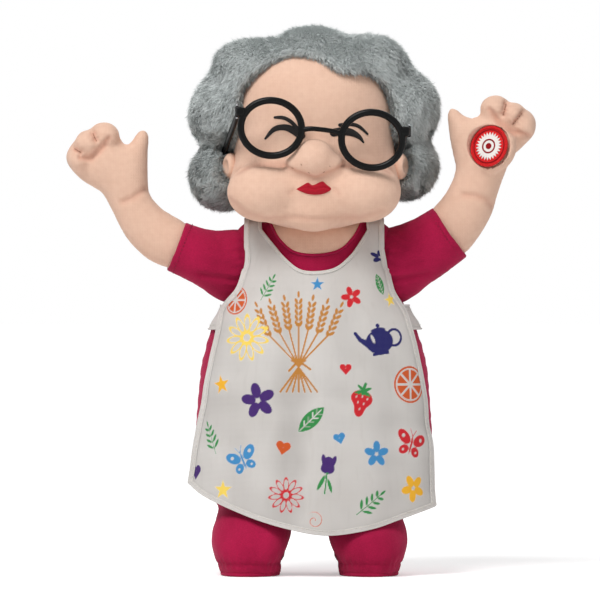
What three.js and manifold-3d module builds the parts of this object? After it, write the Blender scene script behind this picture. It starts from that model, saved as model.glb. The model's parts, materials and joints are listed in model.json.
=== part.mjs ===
// A stuffed grandma doll that stands on its feet and sways at the waist when its palm is pressed.
// Millimetres, +Z up, the face looks along -Y. The trunk's own axis is x = 0, y = 0 inside the doll group.
import * as THREE from "three";
import { mergeVertices } from "three/addons/utils/BufferGeometryUtils.js";
import Module from "manifold-3d";

const wasm = await Module();
wasm.setup();

// Clearances
const GAP = 0.3; // between pieces that touch
const RUNNING = 0.4; // round a shaft that turns
const SEW_GAP = 0.5; // between stuffed pieces that are sewn together
const BEYOND = 200; // past the whole doll, for what is cut right through

// Stance
const TRUNK_SHIFT = 8.5; // the raised arms reach unequally far, so the trunk stands off the middle
const STANCE_SHIFT = -3;
const FOOT_SPREAD = 37.3;
const SOLE_THICKNESS = 1.6;
const TOE_REACH = 66;
const HEEL_REACH = 30;
const FOOT_HALF_WIDTH = 23.6;
const INSTEP_HEIGHT = 34;
const ANKLE_RADIUS = 18;
const ANKLE_SETBACK = 6;
const FOOT_PLATE_THICKNESS = 3;
const LEG_POST_RADIUS = 7;
const POST_BORE = 2;

// Waist bearing and its gears
const HIP_PLATE_HEIGHT = 62;
const HIP_PLATE_THICKNESS = 4;
const HIP_PLATE_HALF_DEPTH = 13;
const WAIST_POST_RADIUS = 8;
const WAIST_HUB_RADIUS = 12;
const WAIST_HUB_LENGTH = 13;
const GEAR_MODULE = 1.2;
const GEAR_TEETH = 30;
const PINION_TEETH = 10;
const GEAR_WIDTH = 6;
const GEAR_BACKLASH = 0.5;
const PINION_SHAFT_RADIUS = 1.5;
const WASHER_RADIUS = 14;
const WASHER_THICKNESS = 2;

// Plastic housing in the trunk
const HOUSING_HALF_WIDTH = 36;
const HOUSING_FRONT = 32;
const HOUSING_BACK = 40;
const HOUSING_HEIGHT = 86;
const HOUSING_WALL = 2.4;
const HOUSING_CORNER = 6;
const BOSS_RADIUS = 4;
const SCREW_RADIUS = 1.5;
const SCREW_HEAD_RADIUS = 3;
const SCREW_HEAD_THICKNESS = 2;
const SCREW_LENGTH = 22;
const GEARBOX_SIZE = [26, 14.6, 26];
const MOTOR_RADIUS = 10;
const MOTOR_LENGTH = 25;
const MOTOR_HALF_FLATS = 7.6;
const MOTOR_BOSS_RADIUS = 2.6;
const SPEAKER_RADIUS = 24;
const SPEAKER_DEPTH = 13;
const SPEAKER_ABOVE_FLOOR = 58;
const GRILLE_HOLE_RADIUS = 2.5;
const BOARD_SIZE = [58, 30];
const BOARD_THICKNESS = 1.6;
const BOARD_POST_LENGTH = 17;

// Batteries and their compartment in the back
const BATTERY_RADIUS = 7.25;
const BATTERY_LENGTH = 50.5;
const BATTERY_CAP_RADIUS = 2.75;
const BATTERY_CAP_HEIGHT = 1.2;
const BATTERY_COUNT = 3;
const BATTERY_PITCH = 15.4;
const TRAY_WALL = 1.6;
const TRAY_SHIFT = -5.5;
const TRAY_ABOVE_FLOOR = 12;
const DOOR_RIM = 2.6;
const DOOR_THICKNESS = 2.4;
const DOOR_SCREW_LENGTH = 6;
const LEDGE = 1.5;
const SWITCH_TRAVEL = 3.5;
const SWITCH_KNOB = [5, 7];
const WINDOW_MARGIN = 3;

// Shoulders and neck
const SHOULDER_OUT = 48;
const SHOULDER_HEIGHT = 197;
const SHOULDER_BALL = 24;
const SHOULDER_BALL_DEPTH = 18;
const YOKE_HEIGHT = 12;
const YOKE_DEPTH = 17;
const EYE_THICKNESS = 10;
const PIN_RADIUS = 2;
const PIN_HEAD_RADIUS = 3;
const PIN_HEAD_THICKNESS = 1.2;
const ARM_ROD_RADIUS = 2.6;
const NECK_POST_RADIUS = 7;
const NECK_TOP = SHOULDER_HEIGHT + 39;
const NECK_FLANGE = [15, 3];
const NECK_SLEEVE_WALL = 3;
const NECK_RADIUS = 21;
const NECK_SKIN_TOP = NECK_TOP - 9;
const HEAD_PLATE_RADIUS = 26;
const HEAD_PLATE_THICKNESS = 3;

// Press pad in one palm
const PRESS_PATCH_RADIUS = 14.6;
const PRESS_PATCH_THICKNESS = 1.4;
const PRESS_TRAVEL = 2;
const PRESS_STEM_RADIUS = 5;
const PRESS_STEM_LENGTH = 6;
const PRESS_CASE_RADIUS = 9;
const PRESS_CASE_DEPTH = 9;
const PRESS_CASE_WALL = 1.6;

// Glasses
const RIM_TUBE = 2.1;
const RIM_HALF_WIDTH = 21.6;
const RIM_HALF_HEIGHT = 19.8;
const RIM_SPACING = 64.4;
const GLASSES_TILT = THREE.MathUtils.degToRad(6.8);
const GLASSES_PLACE = [4.6, -61.8, NECK_TOP + 45.4];
const TEMPLE_LIFT = 8;
const TEMPLE_REST = [57, -12, NECK_TOP + 37.6];
const TEMPLE_RADIUS = 1.8;
const END_BLOCK = [7, 5, 7];
const END_BLOCK_OVERHANG = -0.4; // how far its middle lies outside the rim

// Cloth
const APRON_THICKNESS = 1.6;
const APRON_STAND_OFF = 2.4;
const PANEL_THICKNESS = 1.2;
const APRON_TAB_HEIGHT = 15;
const APRON_TAB_TOP = SHOULDER_HEIGHT - 24.5;
const CLOSURE_WIDTH = 16;
const CLOSURE_THICKNESS = 0.8;

// A table of rows whose one column is measured from a base
const lifted = (base, column, rows) => rows.map((row) => row.with(column, base + row[column]));
// Rows of x, y, z and radii, with x measured outwards from a shoulder and z up from it
const fromShoulder = (side, rows) =>
  rows.map(([x, y, z, ...radii]) => [side * (SHOULDER_OUT + x), y, SHOULDER_HEIGHT + z, ...radii]);

// Sections of the stuffed trunk: height, half width, front, back
const COVER_HEM = 46;
const TRUNK_SECTIONS = [
  [COVER_HEM, 70, -45, 42],
  [58, 74.5, -51, 47],
  [74, 76, -54, 50],
  [92, 75.5, -55, 51.5],
  [112, 73, -54, 52],
  [132, 71, -51.5, 51],
  ...lifted(SHOULDER_HEIGHT, 0, [
    [-47, 67, -48, 50],
    [-31, 61.5, -44, 47],
    [-15, 53, -39, 41],
    [0, 46.5, -33.5, 34.5],
    [11, 40.5, -27, 28],
    [17.5, 30, -20, 21],
    [20.5, 14, -10, 11],
  ]),
];
// Below the belly the apron hangs free and flares: height, half width, front, back
const APRON_SKIRT = [
  [22, 80, -60.5, 50],
  [40, 79.5, -60, 52],
  [58, 78.5, -58.5, 52],
  [76, 77.5, -56.8, 51.5],
];
// Sections of the stuffed head
const HEAD_SECTIONS = lifted(NECK_TOP, 0, [
  [-15, 14, -38, -6],
  [-11, 31, -47, 14],
  [-4, 46, -54, 24],
  [7, 55.2, -58.5, 33],
  [19, 54.5, -57, 41],
  [34, 52, -52, 46],
  [50, 51, -50, 48],
  [65, 50, -48.5, 48],
  [79, 45.5, -44.5, 45],
  [92, 36, -36, 37],
  [100, 24, -25, 27],
  [104, 9, -10, 12],
]);
// Foot, from toe to heel: distance back from the toe, half width, top, bottom
const FOOT_SECTIONS = [
  [0, 8, 20, 9],
  [2.5, 15, 22.6, 3],
  [8, 20.5, 25.4, -3],
  [20, FOOT_HALF_WIDTH, INSTEP_HEIGHT - 3.8, -6],
  [38, FOOT_HALF_WIDTH, INSTEP_HEIGHT, -6],
  [60, 22.6, INSTEP_HEIGHT, -6],
  [80, 20.5, INSTEP_HEIGHT - 1, -6],
  [90, 16, 28, -4],
  [95, 9, 24, 4],
];
// Arms, seen from the front: each row is x, y, z, half width, half depth
const LEFT_SLEEVE = fromShoulder(1, [
  [0, 0, 0, 21, 17.5],
  [12, -1, 6, 21.6, 18],
  [26, -2, 13.5, 20, 18],
  [39.5, -3, 22.8, 19, 18],
]);
const RIGHT_SLEEVE = fromShoulder(-1, [
  [0, 0, 0, 21, 17.5],
  [10, -1, 2.5, 20.6, 17.6],
  [24, -2, 7, 18, 17],
  [40.8, -3, 13.6, 16.7, 16.5],
]);
const LEFT_HAND = fromShoulder(1, [
  [36, -3, 20.2, 16.6, 15.4],
  [46.5, -4, 32.1, 16.4, 15.4],
  [51, -5, 40.1, 15.8, 14.6],
  [55.8, -6, 52.6, 15, 13.6],
  [59.6, -7, 64.8, 16.6, 13.8],
  [63.8, -8, 78.2, 22.5, 15],
  [67.5, -9, 89, 26, 14],
  [70.5, -10, 98, 22, 11],
]);
const RIGHT_HAND = fromShoulder(-1, [
  [37.4, -3, 12, 14.6, 14],
  [58.1, -4, 24.4, 15, 14],
  [66.8, -5, 35.3, 13.4, 13],
  [71.6, -6, 45.9, 13.4, 12.6],
  [79, -7, 57.5, 19, 13.6],
  [84, -8, 69, 24.2, 14.6],
  [86, -9, 80, 24.5, 13],
  [87, -10, 88, 19, 10],
]);
// Curled fingers and thumb: x, y, z, then the three radii
const LEFT_FINGERS = fromShoulder(1, [
  [68, -15, 102, 9.5, 10, 8.6],
  [79.5, -16, 97.5, 8.6, 10, 8.6],
  [86.8, -15, 90, 7.6, 9.5, 9],
]);
const RIGHT_FINGERS = fromShoulder(-1, [
  [86, -15, 84.6, 9, 10, 8.4],
  [98, -16, 79.4, 8.6, 10, 8.6],
  [103, -15, 69.6, 7.6, 9.5, 9],
]);
const LEFT_THUMB = fromShoulder(1, [
  [52, -11, 76, 9.5, 9],
  [45.5, -13, 87, 7.6, 7.4],
  [42.6, -14, 96, 5.6, 5.8],
  [41.6, -14, 100.4, 3, 3.4],
]);
const RIGHT_THUMB = fromShoulder(-1, [
  [68, -11, 67, 8.4, 8.4],
  [63.6, -13, 77, 6.8, 6.8],
  [61.8, -14, 84, 4.8, 5],
  [61.3, -14, 87.6, 2.6, 3],
]);
const PRESS_PLACE = [SHOULDER_OUT + 64, -23.4, SHOULDER_HEIGHT + 77.6];
const PRESS_FACING = new THREE.Vector3(-0.5, -0.84, 0.2).normalize();
// Lobes of the fur wig: x, y, z, then the three radii
const WIG_LOBES = lifted(NECK_TOP, 2, [
  [0, 10, 61, 62, 52, 51],
  [-1.5, -3, 96, 25, 34, 20],
  [-40, 2, 87, 28, 33, 23],
  [36, 2, 89, 27, 33, 23],
  [-57.5, 9, 60, 24.5, 36, 27],
  [57.5, 9, 63, 24.8, 36, 27],
  [-58, 11, 20, 24, 34, 23.5],
  [57, 11, 26, 24.6, 34, 23],
  [-24, 32, 78, 30, 33, 27],
  [26, 32, 78, 30, 33, 27],
  [0, 36, 46, 40, 30, 30],
  [-32, 32, 26, 30, 28, 28],
  [32, 32, 28, 30, 28, 28],
]);

// Facets of the stuffed forms: sides round a form and rings along it
const TRUNK_FACETS = [20, 11];
const HEAD_FACETS = [18, 10];
const HAND_FACETS = [12, 8];
const SLEEVE_FACETS = [12, 5];
const THUMB_FACETS = [8, 4];
const LOBE_FACETS = [8, 5];
const FOOT_FACETS = [12, 8];
const SHOULDER_FACETS = [16, 6];
const FRAY = 0.02; // edges left by a cut that are shorter than this are closed up

const material = (color, roughness, metalness = 0) =>
  new THREE.MeshStandardMaterial({ color, roughness, metalness });
const MAGENTA = material(0xa8153f, 0.92);
const SKIN = material(0xe0b398, 0.9);
const FUR = material(0x7c8180, 1);
const APRON_CLOTH = material(0xf0ead8, 0.9);
const RIM_BLACK = material(0x0c0c0e, 0.2);
const SHELL_GREY = material(0x55585c, 0.6);
const SHELL_WHITE = material(0xd8d8d2, 0.55);
const STEEL = material(0xb9bcc0, 0.35, 0.9);
const NYLON = material(0xe6e2d4, 0.5);
const BOARD_GREEN = material(0x1d6b3a, 0.6);
const BATTERY_SLEEVE = material(0x3a3a3e, 0.4);
const PATCH_RED = material(0xd8202a, 0.85);

// Solids: make, place, join and cut

function toSolid(geometry) {
  const bare = geometry.clone();
  bare.deleteAttribute("normal");
  bare.deleteAttribute("uv");
  const merged = mergeVertices(bare, 1e-4);
  const vertProperties = merged.attributes.position.array;
  const triVerts = new Uint32Array(merged.index.array);
  const made = new wasm.Manifold(new wasm.Mesh({ numProp: 3, vertProperties, triVerts }));
  if (made.volume() >= 0) return made;
  for (let i = 0; i < triVerts.length; i += 3) {
    [triVerts[i + 1], triVerts[i + 2]] = [triVerts[i + 2], triVerts[i + 1]];
  }
  return new wasm.Manifold(new wasm.Mesh({ numProp: 3, vertProperties, triVerts }));
}

function toGeometry(solid) {
  const mesh = solid.simplify(FRAY).getMesh();
  const geometry = new THREE.BufferGeometry();
  geometry.setAttribute("position", new THREE.BufferAttribute(new Float32Array(mesh.vertProperties), 3));
  geometry.setIndex(new THREE.BufferAttribute(new Uint32Array(mesh.triVerts), 1));
  geometry.computeVertexNormals();
  return geometry;
}

const join = (...solids) => solids.reduce((whole, piece) => whole.add(piece));
const cut = (solid, ...tools) => tools.reduce((whole, tool) => whole.subtract(tool), solid);

function box(x0, x1, y0, y1, z0, z1) {
  const geometry = new THREE.BoxGeometry(x1 - x0, y1 - y0, z1 - z0);
  return toSolid(geometry.translate((x0 + x1) / 2, (y0 + y1) / 2, (z0 + z1) / 2));
}

// A round bar along x, y or z, from one coordinate to another, through the point given by the other two.
function bar(axis, radius, from, to, [a, b] = [0, 0], sides = 16) {
  const geometry = new THREE.CylinderGeometry(radius, radius, to - from, sides);
  const middle = (from + to) / 2;
  if (axis === "x") return toSolid(geometry.rotateZ(-Math.PI / 2).translate(middle, a, b));
  if (axis === "y") return toSolid(geometry.translate(a, middle, b));
  return toSolid(geometry.rotateX(Math.PI / 2).translate(a, b, middle));
}

function ball([x, y, z, rx, ry, rz], [sides, rings] = LOBE_FACETS) {
  return toSolid(new THREE.SphereGeometry(1, sides, rings).scale(rx, ry, rz).translate(x, y, z));
}

// A profile of [radius, height] points turned about the z axis.
function turned(profile, sides = 20) {
  const points = profile.map(([radius, height]) => new THREE.Vector2(radius, height));
  return toSolid(new THREE.LatheGeometry(points, sides).rotateX(Math.PI / 2));
}

function roundedRectangle(x0, x1, y0, y1, radius) {
  const shape = new THREE.Shape();
  shape.absarc(x1 - radius, y0 + radius, radius, -Math.PI / 2, 0);
  shape.absarc(x1 - radius, y1 - radius, radius, 0, Math.PI / 2);
  shape.absarc(x0 + radius, y1 - radius, radius, Math.PI / 2, Math.PI);
  shape.absarc(x0 + radius, y0 + radius, radius, Math.PI, 1.5 * Math.PI);
  return shape;
}

// A flat outline in x and y raised from z0 to z1.
function raised(shape, z0, z1, curveSegments = 4) {
  const geometry = new THREE.ExtrudeGeometry(shape, { depth: z1 - z0, bevelEnabled: false, curveSegments });
  return toSolid(geometry.translate(0, 0, z0));
}

// A flat outline in x and z carried along y from y0 to y1.
function frontal(shape, y0, y1, curveSegments = 4) {
  const geometry = new THREE.ExtrudeGeometry(shape, { depth: y1 - y0, bevelEnabled: false, curveSegments });
  return toSolid(geometry.rotateX(Math.PI / 2).translate(0, y1, 0));
}

function tube(points, radius, steps = 7, halfSides = 3) {
  const path = new THREE.CatmullRomCurve3(points.map((p) => new THREE.Vector3(...p)));
  const section = new THREE.Shape();
  section.absarc(0, 0, radius, 0, 2 * Math.PI);
  const options = { extrudePath: path, steps, bevelEnabled: false, curveSegments: halfSides };
  return toSolid(new THREE.ExtrudeGeometry(section, options));
}

// Stuffed forms

// The row of numbers a share t of the way along a table, on a smooth curve through its rows.
function smoothRow(rows, t) {
  const last = rows.length - 1;
  const i = Math.min(Math.floor(t * last), last - 1);
  const u = t * last - i;
  const at = (k) => rows[THREE.MathUtils.clamp(k, 0, last)];
  return rows[i].map((_, column) => {
    const [a, b, c, d] = [i - 1, i, i + 1, i + 2].map((k) => at(k)[column]);
    const bend = (2 * a - 5 * b + 4 * c - d) * u * u + (3 * b - a - 3 * c + d) * u * u * u;
    return 0.5 * (2 * b + (c - a) * u + bend);
  });
}

// A closed skin over rings of points, with a fan at each end.
function skinOf(rings) {
  const sides = rings[0].length;
  const middle = (ring) =>
    ring.reduce((sum, p) => sum.add(p), new THREE.Vector3()).divideScalar(sides);
  const points = [...rings.flat(), middle(rings[0]), middle(rings.at(-1))];
  const [firstMiddle, lastMiddle] = [points.length - 2, points.length - 1];
  const lastRing = (rings.length - 1) * sides;
  const index = [];
  for (let k = 0; k < sides; k++) {
    const next = (k + 1) % sides;
    for (let r = 0; r < rings.length - 1; r++) {
      const [a, b] = [r * sides + k, r * sides + next];
      index.push(a, b, b + sides, a, b + sides, a + sides);
    }
    index.push(firstMiddle, next, k, lastMiddle, lastRing + k, lastRing + next);
  }
  const geometry = new THREE.BufferGeometry().setFromPoints(points);
  geometry.setIndex(index);
  return toSolid(geometry);
}

const power = (value, exponent) => Math.sign(value) * Math.abs(value) ** exponent;

// One flat ring: a rounded outline between a front and a back.
function ringAt(z, halfWidth, front, back, sides, squareness = 2.25) {
  return Array.from({ length: sides }, (_, k) => {
    const angle = (2 * Math.PI * k) / sides;
    const x = halfWidth * power(Math.cos(angle), 2 / squareness);
    const y = (front + back) / 2 + ((back - front) / 2) * power(Math.sin(angle), 2 / squareness);
    return new THREE.Vector3(x, y, z);
  });
}

const STEP = 0.01; // share of a table over which its slope is taken

// A stuffed form of upright sections, grown square to its surface by a margin.
function upright(sections, margin = 0, [sides, rings] = TRUNK_FACETS) {
  return skinOf(
    Array.from({ length: rings + 1 }, (_, i) => {
      const t = i / rings;
      const [z, halfWidth, front, back] = smoothRow(sections, t);
      const above = smoothRow(sections, Math.min(1, t + STEP));
      const below = smoothRow(sections, Math.max(0, t - STEP));
      const slope = new THREE.Vector2(above[0] - below[0], below[1] - above[1]).normalize();
      const grown = margin * slope.x;
      return ringAt(z + margin * slope.y, halfWidth + grown, front - grown, back + grown, sides);
    }),
  );
}

// A stuffed limb that bends in the front plane.
function limb(rows, margin = 0, [sides, rings] = HAND_FACETS) {
  return skinOf(
    Array.from({ length: rings + 1 }, (_, i) => {
      const t = i / rings;
      const [x, y, z, halfWidth, halfDepth] = smoothRow(rows, t);
      const ahead = smoothRow(rows, Math.min(1, t + STEP));
      const behind = smoothRow(rows, Math.max(0, t - STEP));
      const along = new THREE.Vector2(ahead[0] - behind[0], ahead[2] - behind[2]).normalize();
      return Array.from({ length: sides }, (_, k) => {
        const angle = (2 * Math.PI * k) / sides;
        const across = (halfWidth + margin) * Math.cos(angle);
        const depth = (halfDepth + margin) * Math.sin(angle);
        return new THREE.Vector3(x - along.y * across, y + depth, z + along.x * across);
      });
    }),
  );
}

// Heights that follow from the driving sizes
const PLATE_BOTTOM = SOLE_THICKNESS + GAP;
const PLATE_TOP = PLATE_BOTTOM + FOOT_PLATE_THICKNESS;
const HIP_TOP = HIP_PLATE_HEIGHT + HIP_PLATE_THICKNESS;
const HOUSING_FLOOR = HIP_TOP + GAP + WAIST_HUB_LENGTH + GAP;
const HOUSING_TOP = HOUSING_FLOOR + HOUSING_HEIGHT;
const FLOOR_TOP = HOUSING_FLOOR + HOUSING_WALL;
const WAIST_POST_TOP = FLOOR_TOP + GAP;
const GEAR_BOTTOM = HIP_TOP + GAP + 2;
const GEAR_CENTRES = (GEAR_MODULE * (GEAR_TEETH + PINION_TEETH)) / 2;
const YOKE_BOTTOM = SHOULDER_HEIGHT - YOKE_HEIGHT / 2;
const YOKE_TOP = SHOULDER_HEIGHT + YOKE_HEIGHT / 2;
const SLEEVE_BOTTOM = YOKE_TOP + GAP + NECK_FLANGE[1] + GAP;
const NECK_SLEEVE_RADIUS = NECK_POST_RADIUS + RUNNING + NECK_SLEEVE_WALL;
const TRAY_HALF_WIDTH = (BATTERY_PITCH * (BATTERY_COUNT - 1)) / 2 + BATTERY_RADIUS + 1;
const TRAY_BOTTOM = FLOOR_TOP + TRAY_ABOVE_FLOOR;
const TRAY_TOP = TRAY_BOTTOM + BATTERY_LENGTH + 3;
const DOOR_FRONT = HOUSING_BACK - DOOR_THICKNESS;
const TRAY_FLOOR = DOOR_FRONT - GAP - 2 * BATTERY_RADIUS - 1;
const DOOR_X = [TRAY_SHIFT - TRAY_HALF_WIDTH - DOOR_RIM, TRAY_SHIFT + TRAY_HALF_WIDTH + DOOR_RIM];
const DOOR_Z = [TRAY_BOTTOM - DOOR_RIM, TRAY_TOP + DOOR_RIM + 3.6];
const DOOR_SCREW = [(DOOR_X[0] + DOOR_X[1]) / 2, DOOR_Z[1] - 4];
const SWITCH_X = (DOOR_X[1] + HOUSING_HALF_WIDTH) / 2;
const SWITCH_Z = (DOOR_Z[0] + DOOR_Z[1]) / 2;
const SPEAKER_Z = HOUSING_FLOOR + SPEAKER_ABOVE_FLOOR;
const SHAFT_TOP = FLOOR_TOP + 8;
const INNER_FRONT = -HOUSING_FRONT + HOUSING_WALL;
const BOARD_FACE = INNER_FRONT + BOARD_POST_LENGTH + GAP;
const BOARD_BOTTOM = FLOOR_TOP + GAP + GEARBOX_SIZE[2] + 2;

// Feet and legs

const footCentre = (side) => STANCE_SHIFT + side * FOOT_SPREAD;

function footForm() {
  const length = FOOT_SECTIONS.at(-1)[0];
  const scale = (TOE_REACH + HEEL_REACH) / length;
  const [sides, rings] = FOOT_FACETS;
  return skinOf(
    Array.from({ length: rings + 1 }, (_, i) => {
      const [back, halfWidth, top, bottom] = smoothRow(FOOT_SECTIONS, i / rings);
      return Array.from({ length: sides }, (_, k) => {
        const angle = (2 * Math.PI * k) / sides;
        const x = halfWidth * power(Math.cos(angle), 0.85);
        const z = (top + bottom) / 2 + ((top - bottom) / 2) * power(Math.sin(angle), 0.85);
        return new THREE.Vector3(x, back * scale - TOE_REACH, z);
      });
    }),
  );
}

function legForm() {
  const ankle = [ANKLE_RADIUS, ANKLE_SETBACK];
  const column = skinOf(
    [20, 34, 46, HIP_PLATE_HEIGHT - GAP].map((z) =>
      ringAt(z, ankle[0], -ankle[1] - ankle[0], -ankle[1] + ankle[0], 12, 2),
    ),
  );
  return join(footForm(), column);
}

function footOutline(inset) {
  const half = FOOT_HALF_WIDTH - inset;
  const shape = new THREE.Shape();
  const toe = -TOE_REACH + inset;
  const heel = HEEL_REACH - inset;
  shape.absellipse(0, toe + 1.3 * half, half, 1.3 * half, Math.PI, 2 * Math.PI);
  shape.absellipse(0, heel - 0.95 * half, 0.88 * half, 0.95 * half, 0, Math.PI);
  return shape;
}

function leg() {
  const cavity = join(
    raised(footOutline(5), -1, PLATE_TOP + GAP, 5),
    bar("z", LEG_POST_RADIUS + GAP, 0, HIP_PLATE_HEIGHT + 1, [0, -ANKLE_SETBACK]),
  );
  return cut(legForm(), cavity, box(-BEYOND, BEYOND, -BEYOND, BEYOND, -BEYOND, SOLE_THICKNESS + GAP));
}

const sole = () => raised(footOutline(2.4), 0, SOLE_THICKNESS, 5);
const footPlate = () => raised(footOutline(5.6), PLATE_BOTTOM, PLATE_TOP, 5);

function legPost() {
  const place = [0, -ANKLE_SETBACK];
  const post = bar("z", LEG_POST_RADIUS, PLATE_TOP + GAP, HIP_PLATE_HEIGHT - GAP, place);
  return cut(post, bar("z", POST_BORE, 0, HIP_PLATE_HEIGHT + 1, place, 8));
}

// Hips and waist

function hipBase() {
  const reach = FOOT_SPREAD + LEG_POST_RADIUS + 2;
  const [y0, y1] = [-ANKLE_SETBACK - HIP_PLATE_HALF_DEPTH, HIP_PLATE_HALF_DEPTH];
  const outline = roundedRectangle(STANCE_SHIFT - reach, STANCE_SHIFT + reach, y0, y1, 8);
  const plate = raised(outline, HIP_PLATE_HEIGHT, HIP_TOP);
  const post = bar("z", WAIST_POST_RADIUS, HIP_TOP - 1, WAIST_POST_TOP);
  const bore = bar("z", SCREW_RADIUS + GAP, HIP_PLATE_HEIGHT - 1, WAIST_POST_TOP + 1, [0, 0], 10);
  return cut(join(plate, post), bore);
}

function gearOutline(teeth, turn) {
  const pitch = (GEAR_MODULE * teeth) / 2;
  const base = pitch * Math.cos(THREE.MathUtils.degToRad(20));
  const involute = (r) => Math.sqrt((r / base) ** 2 - 1) - Math.acos(base / r);
  const halfAt = (r) =>
    ((Math.PI * GEAR_MODULE) / 2 - GEAR_BACKLASH) / 2 / pitch + involute(pitch) - involute(Math.max(r, base));
  const radii = [pitch - 1.15 * GEAR_MODULE, pitch + 0.8 * GEAR_MODULE];
  const flank = radii.map((r) => [r, halfAt(r)]);
  const points = [];
  for (let tooth = 0; tooth < teeth; tooth++) {
    const centre = turn + (2 * Math.PI * tooth) / teeth;
    for (const [r, half] of flank) points.push([r, centre - half]);
    for (const [r, half] of [...flank].reverse()) points.push([r, centre + half]);
  }
  return new THREE.Shape(points.map(([r, a]) => new THREE.Vector2(r * Math.cos(a), r * Math.sin(a))));
}

function waistGear() {
  const wheel = raised(gearOutline(GEAR_TEETH, 0), GEAR_BOTTOM, GEAR_BOTTOM + GEAR_WIDTH);
  const hub = bar("z", WAIST_HUB_RADIUS, HIP_TOP + GAP, HIP_TOP + GAP + WAIST_HUB_LENGTH);
  return cut(join(wheel, hub), bar("z", WAIST_POST_RADIUS + GAP, HIP_TOP, HOUSING_FLOOR));
}

function drivePinion() {
  const halfTooth = Math.PI / PINION_TEETH;
  const wheel = raised(gearOutline(PINION_TEETH, halfTooth), GEAR_BOTTOM, GEAR_BOTTOM + GEAR_WIDTH);
  const shaft = bar("z", PINION_SHAFT_RADIUS, GEAR_BOTTOM, SHAFT_TOP, [0, 0], 10);
  return join(wheel, shaft).translate(0, -GEAR_CENTRES, 0);
}

// A screw along z: its head's top face is at the given height, and the shank points down.
function screw(headTop, length = SCREW_LENGTH) {
  const neck = headTop - SCREW_HEAD_THICKNESS;
  return turned(
    [
      [0, neck - length],
      [SCREW_RADIUS * 0.5, neck - length],
      [SCREW_RADIUS, neck - length + SCREW_RADIUS],
      [SCREW_RADIUS, neck],
      [SCREW_HEAD_RADIUS, neck],
      [SCREW_HEAD_RADIUS, headTop - 0.8],
      [SCREW_HEAD_RADIUS * 0.6, headTop],
      [0, headTop],
    ],
    8,
  );
}

const waistWasher = () => {
  const disc = bar("z", WASHER_RADIUS, WAIST_POST_TOP + GAP, WAIST_POST_TOP + GAP + WASHER_THICKNESS);
  return cut(disc, bar("z", SCREW_RADIUS + GAP, WAIST_POST_TOP, WAIST_POST_TOP + 9, [0, 0], 10));
};
const waistScrew = () =>
  screw(WAIST_POST_TOP + 2 * GAP + WASHER_THICKNESS + SCREW_HEAD_THICKNESS, 14);

// Housing

const SCREW_SPOTS = [-1, 1].flatMap((side) =>
  [FLOOR_TOP + BOSS_RADIUS + 0.5, HOUSING_TOP - HOUSING_WALL - BOSS_RADIUS - 0.5].map((z) => [
    side * (HOUSING_HALF_WIDTH - HOUSING_WALL - BOSS_RADIUS + 1),
    z,
  ]),
);

// Half of the housing between two depths: walls, floor and roof, open at the parting plane.
function housingHalf(y0, y1, closedAtFront) {
  const outline = (inset) =>
    roundedRectangle(
      -HOUSING_HALF_WIDTH + inset,
      HOUSING_HALF_WIDTH - inset,
      HOUSING_FLOOR + inset,
      HOUSING_TOP - inset,
      HOUSING_CORNER - inset,
    );
  const [a, b] = closedAtFront ? [y0 + HOUSING_WALL, y1 + 1] : [y0 - 1, y1 - HOUSING_WALL];
  return cut(frontal(outline(0), y0, y1), frontal(outline(HOUSING_WALL), a, b));
}

const boardPosts = () =>
  [-1, 1].flatMap((side) => {
    const x = side * (BOARD_SIZE[0] / 2 - 2);
    return [BOARD_BOTTOM + 3, BOARD_BOTTOM + BOARD_SIZE[1] - 3].map((z) =>
      bar("y", 2.5, -HOUSING_FRONT + 1, BOARD_FACE - GAP, [x, z], 6),
    );
  });

function housingFront() {
  let shell = housingHalf(-HOUSING_FRONT, -GAP / 2, true);
  for (const [x, z] of SCREW_SPOTS) {
    shell = join(shell, bar("y", BOSS_RADIUS, -HOUSING_FRONT + 1, -GAP / 2, [x, z], 8));
    shell = cut(shell, bar("y", SCREW_RADIUS + GAP, -18, 5, [x, z], 8));
  }
  shell = join(shell, ...boardPosts());
  const holes = [[0, 0]];
  for (let k = 0; k < 6; k++) holes.push([Math.cos((k * Math.PI) / 3) * 9, Math.sin((k * Math.PI) / 3) * 9]);
  for (const [x, z] of holes) {
    const place = [x, SPEAKER_Z + z];
    shell = cut(shell, bar("y", GRILLE_HOLE_RADIUS, -HOUSING_FRONT - 1, -HOUSING_FRONT + 4, place, 6));
  }
  return cut(
    shell,
    bar("z", WAIST_POST_RADIUS + RUNNING, HOUSING_FLOOR - 1, FLOOR_TOP + 1),
    bar("z", PINION_SHAFT_RADIUS + RUNNING, HOUSING_FLOOR - 1, FLOOR_TOP + 1, [0, -GEAR_CENTRES], 10),
  );
}

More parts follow.
